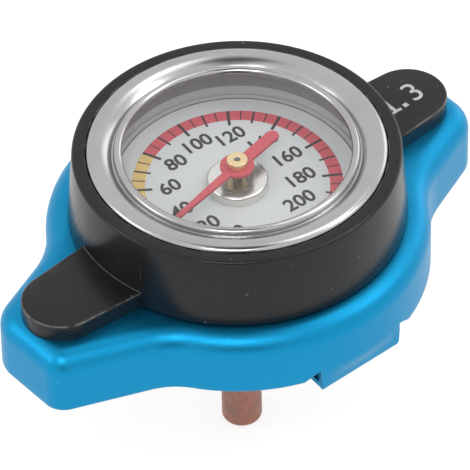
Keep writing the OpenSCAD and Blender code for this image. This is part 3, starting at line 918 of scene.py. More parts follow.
NICKEL = Finish(
    "collar_nickel", (0.76, 0.74, 0.71), (0.8, 0.78, 0.75), roughness=0.26, metallic=1.0,
    roughness_spread=0.03, grain=Grain.TURNED, grain_scale=5.0, grain_depth=0.0002,
)
BLACK_INK = Finish("black_ink", (0.035, 0.036, 0.037), (0.045, 0.046, 0.047), roughness=0.5, specular=0.2)
RED_INK = Finish(
    "red_ink", (0.56, 0.095, 0.12), (0.6, 0.11, 0.135), roughness=0.45, specular=0.2, tint_scale=0.6,
)
YELLOW_INK = Finish(
    "yellow_ink", (0.67, 0.47, 0.17), (0.7, 0.5, 0.2), roughness=0.45, specular=0.2, tint_scale=0.6,
)
GREY_INK = Finish("grey_ink", (0.42, 0.43, 0.44), (0.55, 0.56, 0.57), roughness=0.45, tint_scale=1.5)
# A pale grey that paints in the highlight along the tongues' seams, together with their wear
SEAM_HIGHLIGHT_AND_WEAR = Finish("seam_highlight_and_wear", (0.16, 0.158, 0.156), (0.24, 0.238, 0.236), roughness=0.4, tint_scale=1.5)
POINTER_RED = Finish(
    "pointer_red", (0.5, 0.078, 0.098), (0.54, 0.092, 0.112), roughness=0.4, grain_scale=6.0,
    grain_depth=0.002, tint_scale=0.5, specular=0.3, underside=(0.3, 0.29, 0.28),
)
HUB_BRASS = Finish(
    "hub_polish", (0.82, 0.62, 0.36), (0.88, 0.7, 0.45), roughness=0.3, metallic=0.9, grain=Grain.TURNED,
    grain_scale=8.0, grain_depth=0.002,
)
COPPER = Finish(
    "probe_copper", (0.38, 0.165, 0.12), (0.25, 0.145, 0.12), roughness=0.5, metallic=0.75, tint_scale=0.55,
    tint_amount=1.0, roughness_spread=0.1, grain_scale=2.5, grain_depth=0.012,
    wear_colour=(0.5, 0.27, 0.19), wear_scale=0.9, wear=0.6, chips=0.3,
)
BRASS = Finish(
    "turned_brass", (0.6, 0.41, 0.15), (0.68, 0.5, 0.22), roughness=0.28, metallic=1.0, grain=Grain.TURNED,
    grain_scale=5.0, grain_depth=0.003,
)
VALVE_BRASS = Finish(
    "pressed_brass", (0.52, 0.4, 0.19), (0.6, 0.5, 0.28), roughness=0.32, metallic=1.0, tint_scale=0.2,
    grain_scale=3.0, grain_depth=0.003,
)
SPRING_STEEL = Finish(
    "spring_wire", (0.42, 0.425, 0.43), (0.5, 0.5, 0.5), roughness=0.28, metallic=1.0, grain_scale=4.0,
)
# Dark steel for the spindle; on the dial the same finish paints the line of shade at the can's wall
DARK_STEEL_AND_SHADE = Finish(
    "dark_steel_and_shade", (0.16, 0.15, 0.13), (0.22, 0.21, 0.19), roughness=0.35, metallic=0.9, grain_scale=6.0,
)
STRIP = Finish(
    "bimetal_strip", (0.36, 0.35, 0.33), (0.46, 0.4, 0.32), roughness=0.34, metallic=1.0, tint_scale=0.4,
)
RUBBER = Finish(
    "soft_rubber", (0.018, 0.018, 0.019), (0.028, 0.028, 0.028), roughness=0.68, grain_scale=5.0,
    grain_depth=0.008, specular=0.35,
)
GREY_RUBBER = Finish(
    "grey_rubber", (0.25, 0.25, 0.253), (0.29, 0.29, 0.293), roughness=0.6, grain_scale=5.0,
    grain_depth=0.004, specular=0.35,
)
CLEAR_GLASS = Glass("window_glass")


class SubAssembly:
    """A group of pieces that belong together on the bench."""

    def dress(
        self,
        name: str,
        draft: Draft,
        finish: Union[Finish, Glass],
        slot: str,
        body: Body = Body.CAP,
        nodes: Sequence[str] = (),
    ) -> bpy.types.Object:
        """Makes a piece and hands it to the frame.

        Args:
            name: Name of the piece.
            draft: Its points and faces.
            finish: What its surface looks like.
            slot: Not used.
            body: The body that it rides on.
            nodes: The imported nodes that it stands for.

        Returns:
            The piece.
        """
        piece = draft.to_object(name)
        piece.data.materials.append(finish.material())
        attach(piece, body.value)
        if nodes:
            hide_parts(*nodes)
        LOG.info("%s: %d faces on %s", name, len(piece.data.polygons), body.value)
        return piece

    def ring(
        self,
        name: str,
        node: str,
        bore: float,
        rounding: float,
        finish: Finish,
        slot: str,
        body: Body = Body.CAP,
    ) -> None:
        """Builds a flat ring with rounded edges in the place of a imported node.

        Args:
            name: Name of the piece.
            node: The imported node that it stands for.
            bore: Radius of its hole.
            rounding: How far its edges are cut back.
            finish: What its surface looks like.
            slot: The record's material slot.
            body: The body that it rides on.
        """
        box = NodeBox.of(node)
        profile = ring_profile(box.radius, bore, box.bottom, box.top)
        self.dress(name, revolve(soften(profile, rounding)), finish, slot, body, [node])

    def keep(self, node: str, finish: Finish) -> None:
        """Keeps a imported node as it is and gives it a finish.

        Args:
            node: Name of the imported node.
            finish: What its surface looks like.
        """
        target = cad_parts[node]
        for slot in target.material_slots:
            slot.material = finish.material()
        LOG.info("%s: kept, in %s", node, finish.name)


@dataclass
class CapCover(SubAssembly):
    """The pressed cover with its ears, skirt and bayonet lugs.

    A side of an ear is half the width of its end, the radius of its corner and the radius of the blend into
    the round skirt.
    """

    roof_t: float = 1.2
    wall: float = 0.8
    edge_r: float = 2.6
    skirt_h: float = 8.45
    rim_r: float = 0.3
    ear_flare: float = 22.0
    plain_side: Sizes = (6.45, 2.9, 9.0)
    round_side: Sizes = (5.8, 5.0, 13.0)
    far_side: Sizes = (5.6, 5.0, 9.0)
    lug_w: float = 12.8
    lug_reach: float = 4.6
    lug_bend_r: float = 1.2
    lug_taper: float = 0.8
    notch_w: float = 2.2
    notch_h: float = 1.3
    hole_r: float = 4.1
    settle: float = 0.25
    rim_share: float = 0.9
    lug_lead: float = 1 / 6
    corner_steps: int = 14
    blend_steps: int = 16
    skirt_steps: tuple[int, int, int] = (22, 4, 10)
    rim_steps: int = 3
    lug_steps: int = 6
    edge_steps: int = 10
    hollow_steps: int = 6

    def __post_init__(self) -> None:
        """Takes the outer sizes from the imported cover."""
        box = NodeBox.of("cap_cover")
        self.ear_x = box.high.x
        self.cover_r = box.high.y
        self.top = box.top
        self.lug_z = box.bottom
        self.skirt_z = self.top - self.skirt_h
        self.level = self.skirt_z + self.notch_h

    def _arc(self, middle: Vector, radius: float, angles: Sequence[float], turn: float = 0.0) -> list[Column]:
        """Points of an arc of the outline.

        Args:
            middle: Centre of the arc.
            radius: Its radius.
            angles: Where the points lie on it, in degrees.
            turn: What has to be added to an angle for the direction of the outward normal.

        Returns:
            The points with their normals.
        """
        points = []
        for a in angles:
            way = Vector((math.cos(math.radians(a)), math.sin(math.radians(a))))
            points.append((middle + radius * way, a + turn))
        return points

    def _skirt_angles(self, start: float) -> list[float]:
        """Angles of the points along a quarter of the round skirt, with the lug's ends among them.

        Args:
            start: Where the ear's blend ends, in degrees.

        Returns:
            The angles from there to the middle of the lug.
        """
        stops = [start]
        for x in (self.lug_w / 2 + self.notch_w, self.lug_w / 2, 0.0):
            stops.append(math.degrees(math.acos(x / self.cover_r)))
        angles = []
        for (first, last), steps in zip(zip(stops, stops[1:]), self.skirt_steps):
            angles += [first + (last - first) * i / steps for i in range(steps)]
        return [*angles[1:], 90.0]

    def _quarter(self, side: Sizes) -> list[Column]:
        """A quarter of the outline, from the end of an ear to the middle of the lug.

        Args:
            side: Sizes of that side of the ear.

        Returns:
            Its points with their normals.
        """
        half_w, corner_r, blend_r = side
        flare = math.radians(self.ear_flare)
        normal = Vector((math.sin(flare), math.cos(flare)))
        offset = normal.dot(Vector((self.ear_x, half_w)))
        corner_x = self.ear_x - corner_r
        corner = Vector((corner_x, (offset - corner_r - normal.x * corner_x) / normal.y))
        reach = self.cover_r + blend_r
        start = math.degrees(math.asin((offset + blend_r) / reach)) - self.ear_flare
        blend = reach * Vector((math.cos(math.radians(start)), math.sin(math.radians(start))))
        steps = self.corner_steps
        corner_angles = [(90 - self.ear_flare) * i / steps for i in range(steps + 1)]
        blend_from, blend_to = 270 - self.ear_flare, 180 + start
        steps = self.blend_steps
        blend_angles = [blend_from + (blend_to - blend_from) * i / steps for i in range(steps + 1)]
        quarter = self._arc(corner, corner_r, corner_angles)
        quarter += self._arc(blend, blend_r, blend_angles, -180.0)
        return quarter + self._arc(Vector((0, 0)), self.cover_r, self._skirt_angles(start))

    def _half(self, right: Sizes, left: Sizes) -> list[Column]:
        """The outline's half on the side of +Y, from the end of the right ear to that of the left ear."""
        half = self._quarter(right)
        return half + [(Vector((-p.x, p.y)), 180 - a) for p, a in reversed(self._quarter(left)[:-1])]

    def outline(self) -> list[Column]:
        """The cover's outline, counter-clockwise from the end of the right ear."""
        near = self._half(self.plain_side, self.round_side)
        return self._half(self.far_side, self.round_side) + [(-p, a + 180) for p, a in near]

    def _inset(self, column: Column, amount: float, z: float) -> Point:
        """A point of the outline moved in from the wall, at a height."""
        a = math.radians(column[1])
        return (column[0].x - amount * math.cos(a), column[0].y - amount * math.sin(a), z)

    def _hole(self, column: Column, z: float) -> Point:
        """The point of the bush's hole that faces a point of the outline."""
        out = column[0].normalized() * self.hole_r
        return (out.x, out.y, z)

    def _kind(self, first: Vector, second: Vector) -> Edge:
        """What the lower edge is between two points of the outline.

        Args:
            first: The one point.
            second: The next point.

        Returns:
            The kind of edge.
        """
        middle = (first + second) / 2
        on_lug = abs(middle.x) < self.lug_w / 2 and abs(middle.y) > self.cover_r / 2
        return Edge.LUG if on_lug else Edge.SKIRT

    def _skirt_edge(self, column: Column) -> list[Point]:
        """Points round the skirt's lower edge, from the outside to the inside.

        Args:
            column: A point of the outline. Beside a lug the edge slants up in a relief notch.

        Returns:
            The points of the rounded edge.
        """
        beside = abs(column[0].x) - self.lug_w / 2
        at_side = abs(column[0].y) > self.cover_r / 2
        rise = max(0.0, 1 - beside / self.notch_w) if at_side else 0.0
        edge_z = self.skirt_z + rise * self.notch_h
        rim = min(self.rim_r, self.rim_share * (self.level - edge_z))
        outer = arc((rim, edge_z + rim), rim, 180, 270, self.rim_steps)
        inner = arc((self.wall - rim, edge_z + rim), rim, 270, 360, self.rim_steps)
        return [self._inset(column, depth, z) for depth, z in outer + inner]

    def _lug_face(self, x: float, depth: float) -> list[Point]:
        """One face of a lug's section, from the skirt to where its edge is rounded.

        Args:
            x: Place of the section along the skirt.
            depth: How far the face lies inside the sheet's outer face.

        Returns:
            Points across and up, each with its share of the way to the lug's edge.
        """
        straight = math.sqrt(self.cover_r ** 2 - (self.lug_w / 2) ** 2)
        middle = (straight - self.lug_bend_r, self.lug_z + self.lug_bend_r)
        round_y = math.sqrt((self.cover_r - depth) ** 2 - x ** 2)
        steps, lead = self.lug_steps, self.lug_lead
        face = []
        for i in range(1, steps):
            t = i / steps
            ease = t * t * (3 - 2 * t)
            z = self.level + (middle[1] - self.level) * t
            share = lead * max(0.0, (self.skirt_z - z) / (self.skirt_z - middle[1]))
            face.append((round_y + (straight - depth - round_y) * ease, z, share))
        for i, (y, z) in enumerate(arc(middle, self.lug_bend_r - depth, 0, -90, steps)):
            face.append((y, z, lead + (1 - 2 * lead) * i / steps))
        return face

    def _lug_edge(self, column: Column) -> list[Point]:
        """Points round a lug's section, from the outside to the inside.

        Args:
            column: A point of the outline.

        Returns:
            The points of the section.
        """
        x, side = column[0].x, math.copysign(1, column[0].y)
        tip_r = self.wall / 2
        middle = (self.cover_r - self.lug_reach + tip_r, self.lug_z + tip_r)
        tip = arc(middle, tip_r, 270, 90, self.lug_steps)
        section = self._lug_face(x, 0.0) + [(y, z, 1.0) for y, z in tip]
        section += reversed(self._lug_face(x, self.wall))
        narrow = 2 * self.lug_taper / self.lug_w
        return [(x * (1 - narrow * share), side * y, z) for y, z, share in section]

    def _shell(self, draft: Draft, columns: Sequence[Column]) -> tuple[list[int], list[int]]:
        """Skins the cover down to the level of the notches.

        Args:
            draft: Takes the faces.
            columns: The outline.

        Returns:
            Numbers of the lowest points of the outer and of the inner wall.
        """
        roof = self.top - self.roof_t
        inner_r = self.edge_r - self.roof_t
        settle = self.settle
        rounding = arc((self.edge_r, self.top - self.edge_r), self.edge_r, 90, 180, self.edge_steps)
        hollow = arc((self.wall + inner_r, roof - inner_r), inner_r, 90, 180, self.hollow_steps)
        # Rows beside a round keep the shading of the flats even
        outer = [(self.edge_r + settle, self.top), *rounding]
        outer += [(0.0, self.top - self.edge_r - settle), (0.0, self.level + settle), (0.0, self.level)]
        inner = [(self.wall + inner_r + settle, roof), *hollow, (self.wall, self.level)]
        walls = []
        for steps, z in ((outer, self.top), (inner, roof)):
            rows = [draft.row([self._hole(c, z) for c in columns])]
            rows += [draft.row([self._inset(c, depth, height) for c in columns]) for depth, height in steps]
            for first, second in zip(rows, rows[1:]):
                draft.bridge(first, second)
            walls.append(rows)
        draft.bridge(walls[0][0], walls[1][0])
        return walls[0][-1], walls[1][-1]

    def _lower_edge(
        self, draft: Draft, columns: Sequence[Column], outer: Sequence[int], inner: Sequence[int]
    ) -> None:
        """Closes the cover below the notches' level, with its skirt, notches and lugs.

        Args:
            draft: Takes the faces.
            columns: The outline.
            outer: Lowest points of the outer wall.
            inner: Lowest points of the inner wall.
        """
        count = len(columns)
        kinds = [self._kind(columns[i][0], columns[(i + 1) % count][0]) for i in range(count)]
        sections = {Edge.SKIRT: self._skirt_edge, Edge.LUG: self._lug_edge}
        drawn: dict[tuple[int, Edge], list[int]] = {}

        def section(i: int, kind: Edge) -> list[int]:
            """Draws the section at one column, on its first use.

            Args:
                i: Number of the column.
                kind: What the edge is there.

            Returns:
                Numbers of its points, from the outside to the inside.
            """
            if (i, kind) not in drawn:
                drawn[i, kind] = [outer[i], *draft.row(sections[kind](columns[i])), inner[i]]
            return drawn[i, kind]

        for i, kind in enumerate(kinds):
            j = (i + 1) % count
            draft.bridge(section(i, kind), section(j, kind), closed=False)
            if kind is Edge.LUG and kinds[i - 1] is not kind:
                draft.faces.append(tuple(section(i, kind)))
            if kind is Edge.LUG and kinds[j] is not kind:
                draft.faces.append(tuple(reversed(section(j, kind))))

    def build(self) -> None:
        """Builds the cover."""
        draft = Draft()
        columns = self.outline()
        outer, inner = self._shell(draft, columns)
        self._lower_edge(draft, columns, outer, inner)
        self.dress("cover_shell", draft, BLUE, "blue_metal", nodes=["cap_cover"])


@dataclass
class GaugeHousing(SubAssembly):
    """The black housing with its two tongues and the plain pressure number on one of them.

    The figure one has a foot, by its width and height, and a slanting stroke, by its length and slope.
    """

    rim_round: float = 0.42
    rim_rise: float = 0.18
    rim_in: float = 0.25
    taper: float = 0.72
    bore_bevel: float = 0.15
    floor_t: float = 2.1
    foot_bevel: float = 0.3
    tip_reach: float = 0.3
    tongue_tip_r: float = 5.05
    tongue_root_w: float = 11.5
    tongue_h: float = 2.35
    tongue_bevel: float = 0.22
    seam: float = 0.07
    tongue_sink: float = 1.2
    room: float = 0.1
    number_h: float = 3.35
    figure_x: Sizes = (25.2, 26.9, 29.2)
    foot: Flat = (1.7, 0.4)
    stroke: Flat = (0.95, 38.0)
    point: float = 0.68
    print_t: float = 0.015
    seam_share: float = 1 / 3
    overprint: float = 1.3
    rim_steps: int = 7
    tip_steps: int = 28
    seam_steps: int = 24

    def __post_init__(self) -> None:
        """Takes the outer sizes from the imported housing."""
        box = NodeBox.of("gauge_housing")
        self.tip_x = box.high.x + self.tip_reach
        self.radius = box.high.y - self.rim_in
        self.bottom = box.bottom
        self.top = box.top + self.rim_rise
        self.tongue_top = self.bottom + self.tongue_h

    def _wall_r(self, z: float) -> float:
        """Radius of the tapering wall at a height."""
        return self.radius + self.taper * (self.top - z) / (self.top - self.bottom)

    def _drum(self) -> Draft:
        """The round housing.

        Returns:
            The turned solid, without its tongues.
        """
        can = NodeBox.of("gauge_can")
        bezel = NodeBox.of("bezel_ring")
        bore = bezel.radius + self.room
        ledge = NodeBox.of("dial_plate").radius + GaugeWindow.sheet + 2 * self.room
        hole = CapCover.hole_r
        shoulder = can.top - GaugeWindow.sheet
        rim = (self.radius - self.rim_round, self.top - self.rim_round)
        foot_r = self._wall_r(self.bottom)
        lean = math.degrees(math.atan2(self.taper, self.top - self.bottom))
        profile = [
            (hole, self.bottom),
            (foot_r - self.foot_bevel, self.bottom),
            (foot_r, self.bottom + self.foot_bevel),
            *arc(rim, self.rim_round, lean, 90, self.rim_steps),
            (bore, self.top),
            (bore, shoulder),
            (ledge, shoulder),
            (ledge, self.bottom + self.floor_t),
            (hole, self.bottom + self.floor_t),
        ]
        return revolve(soften(profile, self.bore_bevel), Turn.FINE)

    def _tongue_outline(self) -> list[Flat]:
        """Outline of the right tongue.

        Returns:
            Its points, counter-clockwise.
        """
        tip = self.tip_x - self.tongue_tip_r
        root = self.radius - self.tongue_sink
        half = self.tongue_root_w / 2
        reach = math.hypot(tip - root, half)
        turn = math.degrees(math.acos(self.tongue_tip_r / reach) - math.atan2(tip - root, half))
        end = 90 - turn
        rounding = arc((tip, 0.0), self.tongue_tip_r, -end, end, self.tip_steps)
        return [(root, -half), *rounding, (root, half)]

    def build(self) -> None:
        """Builds the housing and prints its number."""
        right = plate(self._tongue_outline(), self.bottom, self.tongue_top, self.tongue_bevel)
        left = Draft().add(right).moved(Matrix.Rotation(math.pi, 4, "Z"))
        body = combine(self._drum(), [right, left], Cut.ADD)
        self.dress("housing_body", body, BLACK, "black_metal", nodes=["gauge_housing"])
        self._seams()
        self._pressure_number()

    def _seams(self) -> None:
        """Draws the fine pale line where each tongue meets the round wall: a painted highlight of that edge,
        together with its wear.
        """
        wall = self._wall_r(self.tongue_top)
        half = math.degrees(math.asin((self.tongue_root_w / 2 - self.tongue_bevel) / wall))
        low, top = self.tongue_top - self.seam, self.tongue_top + self.seam * self.seam_share
        corners = ring_profile(wall + self.seam, wall - self.seam, low, top)
        draft = Draft()
        for middle in (0, 180):
            rows = []
            for x, y in arc((0.0, 0.0), 1.0, middle - half, middle + half, self.seam_steps):
                rows.append([(r * x, r * y, z) for r, z in corners])
            draft.add(Draft().loft(rows))
        # The pale line is a painted highlight along the seam, with its wear
        self.dress("tongue_seams", draft, SEAM_HIGHLIGHT_AND_WEAR, "black_metal")

    def _pressure_number(self) -> None:
        """Prints the pressure, with its figures set wide apart, on the right tongue."""
        one, point, three = self.figure_x
        low, top = -self.number_h / 2, self.tongue_top + self.overprint * self.print_t
        draft = Draft()
        for text, x in (("1", one), ("3", three)):
            place = Matrix.Translation((x, 0.0, self.tongue_top))
            draft.add(number(text, self.number_h, self.print_t).moved(place))
        for x, width, height in ((one, *self.foot), (point, self.point, self.point)):
            draft.add(block((x - width / 2, low, self.tongue_top), (x + width / 2, low + height, top)))
        length, slope = self.stroke
        width = self.foot[1]
        high = Matrix.Translation((one, -low - width / 2, 0.0)) @ Matrix.Rotation(math.radians(slope), 4, "Z")
        draft.add(block((-length, -width / 2, self.tongue_top), (0.0, width / 2, top)).moved(high))
        self.dress("pressure_number", draft, GREY_INK, "black_metal")


@dataclass
class GaugeWindow(SubAssembly):
    """The bezel, the lens with its seal, and the can behind them."""

    sheet: float = 0.5
    ledge_w: float = 1.4
    lip_r: float = 0.55
    lip_reach: float = 2.6
    lip_rise: float = 0.8
    edge_w: float = 1.0
    edge_rise: float = 0.1
    valley_gap: float = 0.2
    valley_r: float = 0.1
    valley_depth: float = 0.3
    room: float = 0.1
    lens_bevel: float = 0.08
    seal_t: float = 0.4
    skirt_t: float = 0.3
    skirt_play: float = 0.02
    seal_round: float = 0.06
    can_round: float = 0.1
    crest_steps: int = 14
    valley_steps: int = 6
    lip_steps: int = 26

    def _bezel_profile(self) -> list[Flat]:
        """Section of the bezel.

        Returns:
            Its points, from the foot over the crest and the valley to the rolled lip.
        """
        bezel, lens = NodeBox.of("bezel_ring"), NodeBox.of("lens")
        rim = NodeBox.of("gauge_housing").top
        foot = lens.radius + self.room
        lip = (lens.radius - self.lip_reach + self.lip_r, lens.top + self.lip_rise)
        valley = (lip[0] + self.lip_r + self.valley_gap, rim - self.valley_depth)
        crest_r = bezel.radius - self.edge_w
        steps = self.crest_steps
        profile = [(foot, lens.top), (foot, bezel.bottom), (bezel.radius, bezel.bottom)]
        for i in range(steps + 1):
            a = math.pi / 2 * i / steps
            z = rim + self.edge_rise + (bezel.top - rim - self.edge_rise) * math.sin(a)
            profile.append((crest_r + self.edge_w * math.cos(a), z))
        for i in range(1, steps + 1):
            share = i / steps
            z = bezel.top + (valley[1] - bezel.top) * share ** 2
            profile.append((crest_r + (valley[0] - crest_r) * share, z))
        corner = (lip[0] + self.lip_r + self.valley_r, valley[1] + self.valley_r)
        profile += arc(corner, self.valley_r, 270, 180, self.valley_steps)
        profile += arc(lip, self.lip_r, 0, 270, self.lip_steps)
        profile.append((lip[0], lens.top))
        return profile

    def build(self) -> None:
        """Builds the window and the can."""
        bezel = revolve(self._bezel_profile(), Turn.BEZEL)
        self.dress("bezel_rolled", bezel, BEZEL, "bezel_steel", nodes=["bezel_ring"])
        lens = NodeBox.of("lens")
        disc = [(0.0, lens.bottom), (lens.radius, lens.bottom), (lens.radius, lens.top), (0.0, lens.top)]
        glass = revolve(soften(disc, self.lens_bevel), Turn.FINE)
        pane = self.dress("lens_pane", glass, CLEAR_GLASS, "lens_glass", nodes=["lens"])
        pane.visible_shadow = False
        pane.visible_diffuse = False
        self._can()
        self._seal()

    def _seal(self) -> None:
        """Builds the seal below the lens, and a darker grey skirt that lines the upper part of the can's
        wall.
        """
        seal = NodeBox.of("lens_seal")
        skirt = NodeBox.of("dial_plate").radius + self.room - self.skirt_play
        step = seal.top - self.seal_t
        profile = [
            (skirt - self.skirt_t, seal.bottom),
            (skirt, seal.bottom),
            (skirt, step),
            (seal.radius, step),
            (seal.radius, seal.top),
            (skirt - self.skirt_t, seal.top),
        ]
        # The skirt's darker grey makes a dark band round the upper part of the can's wall
        ring = revolve(soften(profile, self.seal_round), Turn.FINE)
        self.dress("lens_gasket", ring, GREY_RUBBER, "black_rubber", nodes=["lens_seal"])

    def _can(self) -> None:
        """Builds the can that holds the dial."""
        can, dial = NodeBox.of("gauge_can"), NodeBox.of("dial_plate")
        inner = dial.radius + self.room
        floor = can.bottom + self.sheet
        shoulder = can.top - self.sheet
        profile = [
            (CapCover.hole_r, can.bottom),
            (inner + self.sheet, can.bottom),
            (inner + self.sheet, shoulder),
            (can.radius, shoulder),
            (can.radius, can.top),
            (inner, can.top),
            (inner, dial.bottom),
            (inner - self.ledge_w, dial.bottom),
            (inner - self.ledge_w, floor),
            (CapCover.hole_r, floor),
        ]
        shell = revolve(soften(profile, self.can_round), Turn.FINE)
        self.dress("can_shell", shell, CAN, "can_steel", nodes=["gauge_can"])


@dataclass
class Dial(SubAssembly):
    """The dial plate with its printed scale, and the polished collar in its middle.

    A long or middle line is given by its inner end and its width. Angles are in degrees.
    """

    first_angle: float = 231.4
    degrees_per_unit: float = 1.47
    last_value: int = 200
    turn: float = -5.5
    band_outer: float = 12.75
    band_inner: float = 11.13
    yellow_from: int = 50
    red_from: int = 80
    number_h: float = 2.05
    number_rim: float = 9.4
    number_shift: Flat = (0.2, 0.24)
    low_value: int = 20
    low_pull: float = 0.6
    number_weight: float = 0.024
    print_t: float = 0.02
    long_line: Flat = (10.25, 0.36)
    middle_line: Flat = (10.65, 0.26)
    short_w: float = 0.15
    margin_inner: float = 15.05
    margin_line: float = 0.16
    hole_r: float = 2.5
    collar_edge: float = 0.3
    collar_hole_r: float = 0.65
    plate_round: float = 0.05
    overprint: float = 1.5
    line_every: int = 5
    middle_every: int = 10
    number_every: int = 20
    band_step: float = 1.5
    collar_steps: int = 5

    def __post_init__(self) -> None:
        """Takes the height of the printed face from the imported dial."""
        self.box = NodeBox.of("dial_plate")
        self.face = self.box.top

    def angle(self, value: float) -> float:
        """Direction of a value on the scale, in radians."""
        return math.radians(self.first_angle - self.degrees_per_unit * value)

    def _band(self, start: float, end: float) -> Draft:
        """A stretch of the coloured band.

        Args:
            start: Value where it starts.
            end: Value where it ends.

        Returns:
            The printed band.
        """
        count = round((end - start) * self.degrees_per_unit / self.band_step)
        corners = ring_profile(self.band_outer, self.band_inner, self.face, self.face + self.print_t)
        rows = []
        for i in range(count + 1):
            a = self.angle(start + (end - start) * i / count)
            rows.append([(r * math.cos(a), r * math.sin(a), z) for r, z in corners])
        return Draft().loft(rows)

    def _tick(self, value: int) -> Draft:
        """One line of the scale. The lines of the numbers are the longest and broadest.

        Args:
            value: The value that it marks.

        Returns:
            The printed line.
        """
        if value % self.number_every == 0:
            inner, width = self.long_line
        elif value % self.middle_every == 0:
            inner, width = self.middle_line
        else:
            inner, width = self.band_inner, self.short_w
        line = block((inner, -width / 2, 0.0), (self.band_outer, width / 2, self.overprint * self.print_t))
        place = Matrix.Translation((0, 0, self.face)) @ Matrix.Rotation(self.angle(value), 4, "Z")
        return line.moved(place)

    def _number(self, value: int) -> Draft:
        """One number of the scale, set upright inside the band.

        Args:
            value: The number.

        Returns:
            Its printed digits.
        """
        text = number(str(value), self.number_h, self.print_t, self.number_weight)
        half_w = max(p[0] for p in text.points)
        half_h = self.number_h / 2
        a = self.angle(value)
        lean = a - math.radians(self.turn)
        reach = self.number_rim - math.hypot(half_w * math.cos(lean), half_h * math.sin(lean))
        if value <= self.low_value:
            reach -= self.low_pull
        x, y = self.number_shift
        place = Matrix.Translation((x + reach * math.cos(a), y + reach * math.sin(a), self.face))
        return text.moved(place @ Matrix.Rotation(math.radians(self.turn), 4, "Z"))

    def build(self) -> None:
        """Builds the dial, its print and its collar."""
        self.ring("dial_face", "dial_plate", self.hole_r, self.plate_round, DIAL_PAINT, "dial_paint")
        self.dress("band_yellow", self._band(self.yellow_from, self.red_from), YELLOW_INK, "dial_paint")
        self.dress("band_red", self._band(self.red_from, self.last_value), RED_INK, "dial_paint")
        self._margin()
        ticks, numbers = Draft(), Draft()
        for value in range(0, self.last_value + 1, self.line_every):
            ticks.add(self._tick(value))
        for value in range(0, self.last_value + 1, self.number_every):
            numbers.add(self._number(value))
        self.dress("scale_lines", ticks, BLACK_INK, "dial_paint")
        self.dress("scale_numbers", numbers, BLACK_INK, "dial_paint")
        collar = NodeBox.of("dial_collar")
        middle = (collar.radius - self.collar_edge, collar.top - self.collar_edge)
        rounding = arc(middle, self.collar_edge, 0, 90, self.collar_steps)
        hole = self.collar_hole_r
        profile = [(hole, collar.bottom), (collar.radius, collar.bottom), *rounding, (hole, collar.top)]
        self.dress("collar_polished", revolve(profile), NICKEL, "nickel", nodes=["dial_collar"])

    def _margin(self) -> None:
        """Leaves the rim of the dial bare and paints a dark line of shade between it and the paint, where the
        dial meets the can's wall.
        """
        top = self.face + self.print_t
        line = self.margin_inner - self.margin_line
        bare = ring_profile(self.box.radius - self.print_t, self.margin_inner, self.face, top)
        self.dress("dial_margin", revolve(bare, Turn.FINE), CAN, "dial_paint")
        # Painted shade: a dark line in the corner between the dial and the can's wall
        dark = ring_profile(self.margin_inner, line, self.face, top)
        self.dress("dial_shade_line", revolve(dark, Turn.FINE), DARK_STEEL_AND_SHADE, "dial_paint")


@dataclass
class Needle(SubAssembly):
    """The pointer with its hub, and the spindle that carries them."""

    angle: float = 190.5
    length: float = 11.8
    tail: float = 7.7
    root_w: float = 1.25
    tip_w: float = 0.6
    tail_w: float = 1.62
    ring_r: float = 2.13
    bevel: float = 0.09
    hole_r: float = 0.37
    waist_r: float = 0.6
    hub_round: float = 0.14
    root_rounds: int = 4
    tip_steps: int = 6
    ring_steps: int = 18
    tail_steps: int = 10

    def _half_outline(self) -> list[Flat]:
        """The side of the pointer towards +Y, with its tip along X.

        Returns:
            Its points, from the tip to the end of the tail.
        """
        tip_r, tail_r = self.tip_w / 2, self.tail_w / 2
        tip_x = self.length - tip_r
        tail_x = self.tail - tail_r
        slope = (tip_r - self.root_w / 2) / tip_x
        root_x = self.ring_r
        # Each round comes closer to where the blade meets the ring
        for _ in range(self.root_rounds):
            root_x = math.sqrt(self.ring_r ** 2 - (self.root_w / 2 + slope * root_x) ** 2)
        root_angle = math.degrees(math.acos(root_x / self.ring_r))
        tail_angle = 180 - math.degrees(math.asin(tail_r / self.ring_r))
        points = arc((tip_x, 0.0), tip_r, 0, 90, self.tip_steps)
        points += arc((0.0, 0.0), self.ring_r, root_angle, tail_angle, self.ring_steps)
        return points + arc((-tail_x, 0.0), tail_r, 90, 180, self.tail_steps)

    def build(self) -> None:
        """Builds the pointer and the hub, and keeps the spindle with its collar."""
        box = NodeBox.of("pointer")
        half = self._half_outline()
        outline = half + [(x, -y) for x, y in reversed(half[1:-1])]
        draft = plate(outline, box.bottom, box.top, self.bevel)
        draft.moved(Matrix.Rotation(math.radians(self.angle), 4, "Z"))
        self.dress("pointer_blade", draft, POINTER_RED, "pointer_paint", Body.POINTER, ["pointer"])
        hub = NodeBox.of("pointer_hub")
        profile = [
            (self.hole_r, hub.bottom),
            (hub.radius, hub.bottom),
            (hub.radius, box.bottom),
            (self.waist_r, box.bottom),
            (self.waist_r, box.top),
            (hub.radius, box.top),
            (hub.radius, hub.top),
            (self.hole_r, hub.top),
        ]
        turned = revolve(soften(profile, self.hub_round), Turn.SMALL)
        self.dress("hub_turned", turned, HUB_BRASS, "hub_brass", Body.POINTER, ["pointer_hub"])
        self.keep("spindle", DARK_STEEL_AND_SHADE)
        self.keep("coil_collar", BRASS)


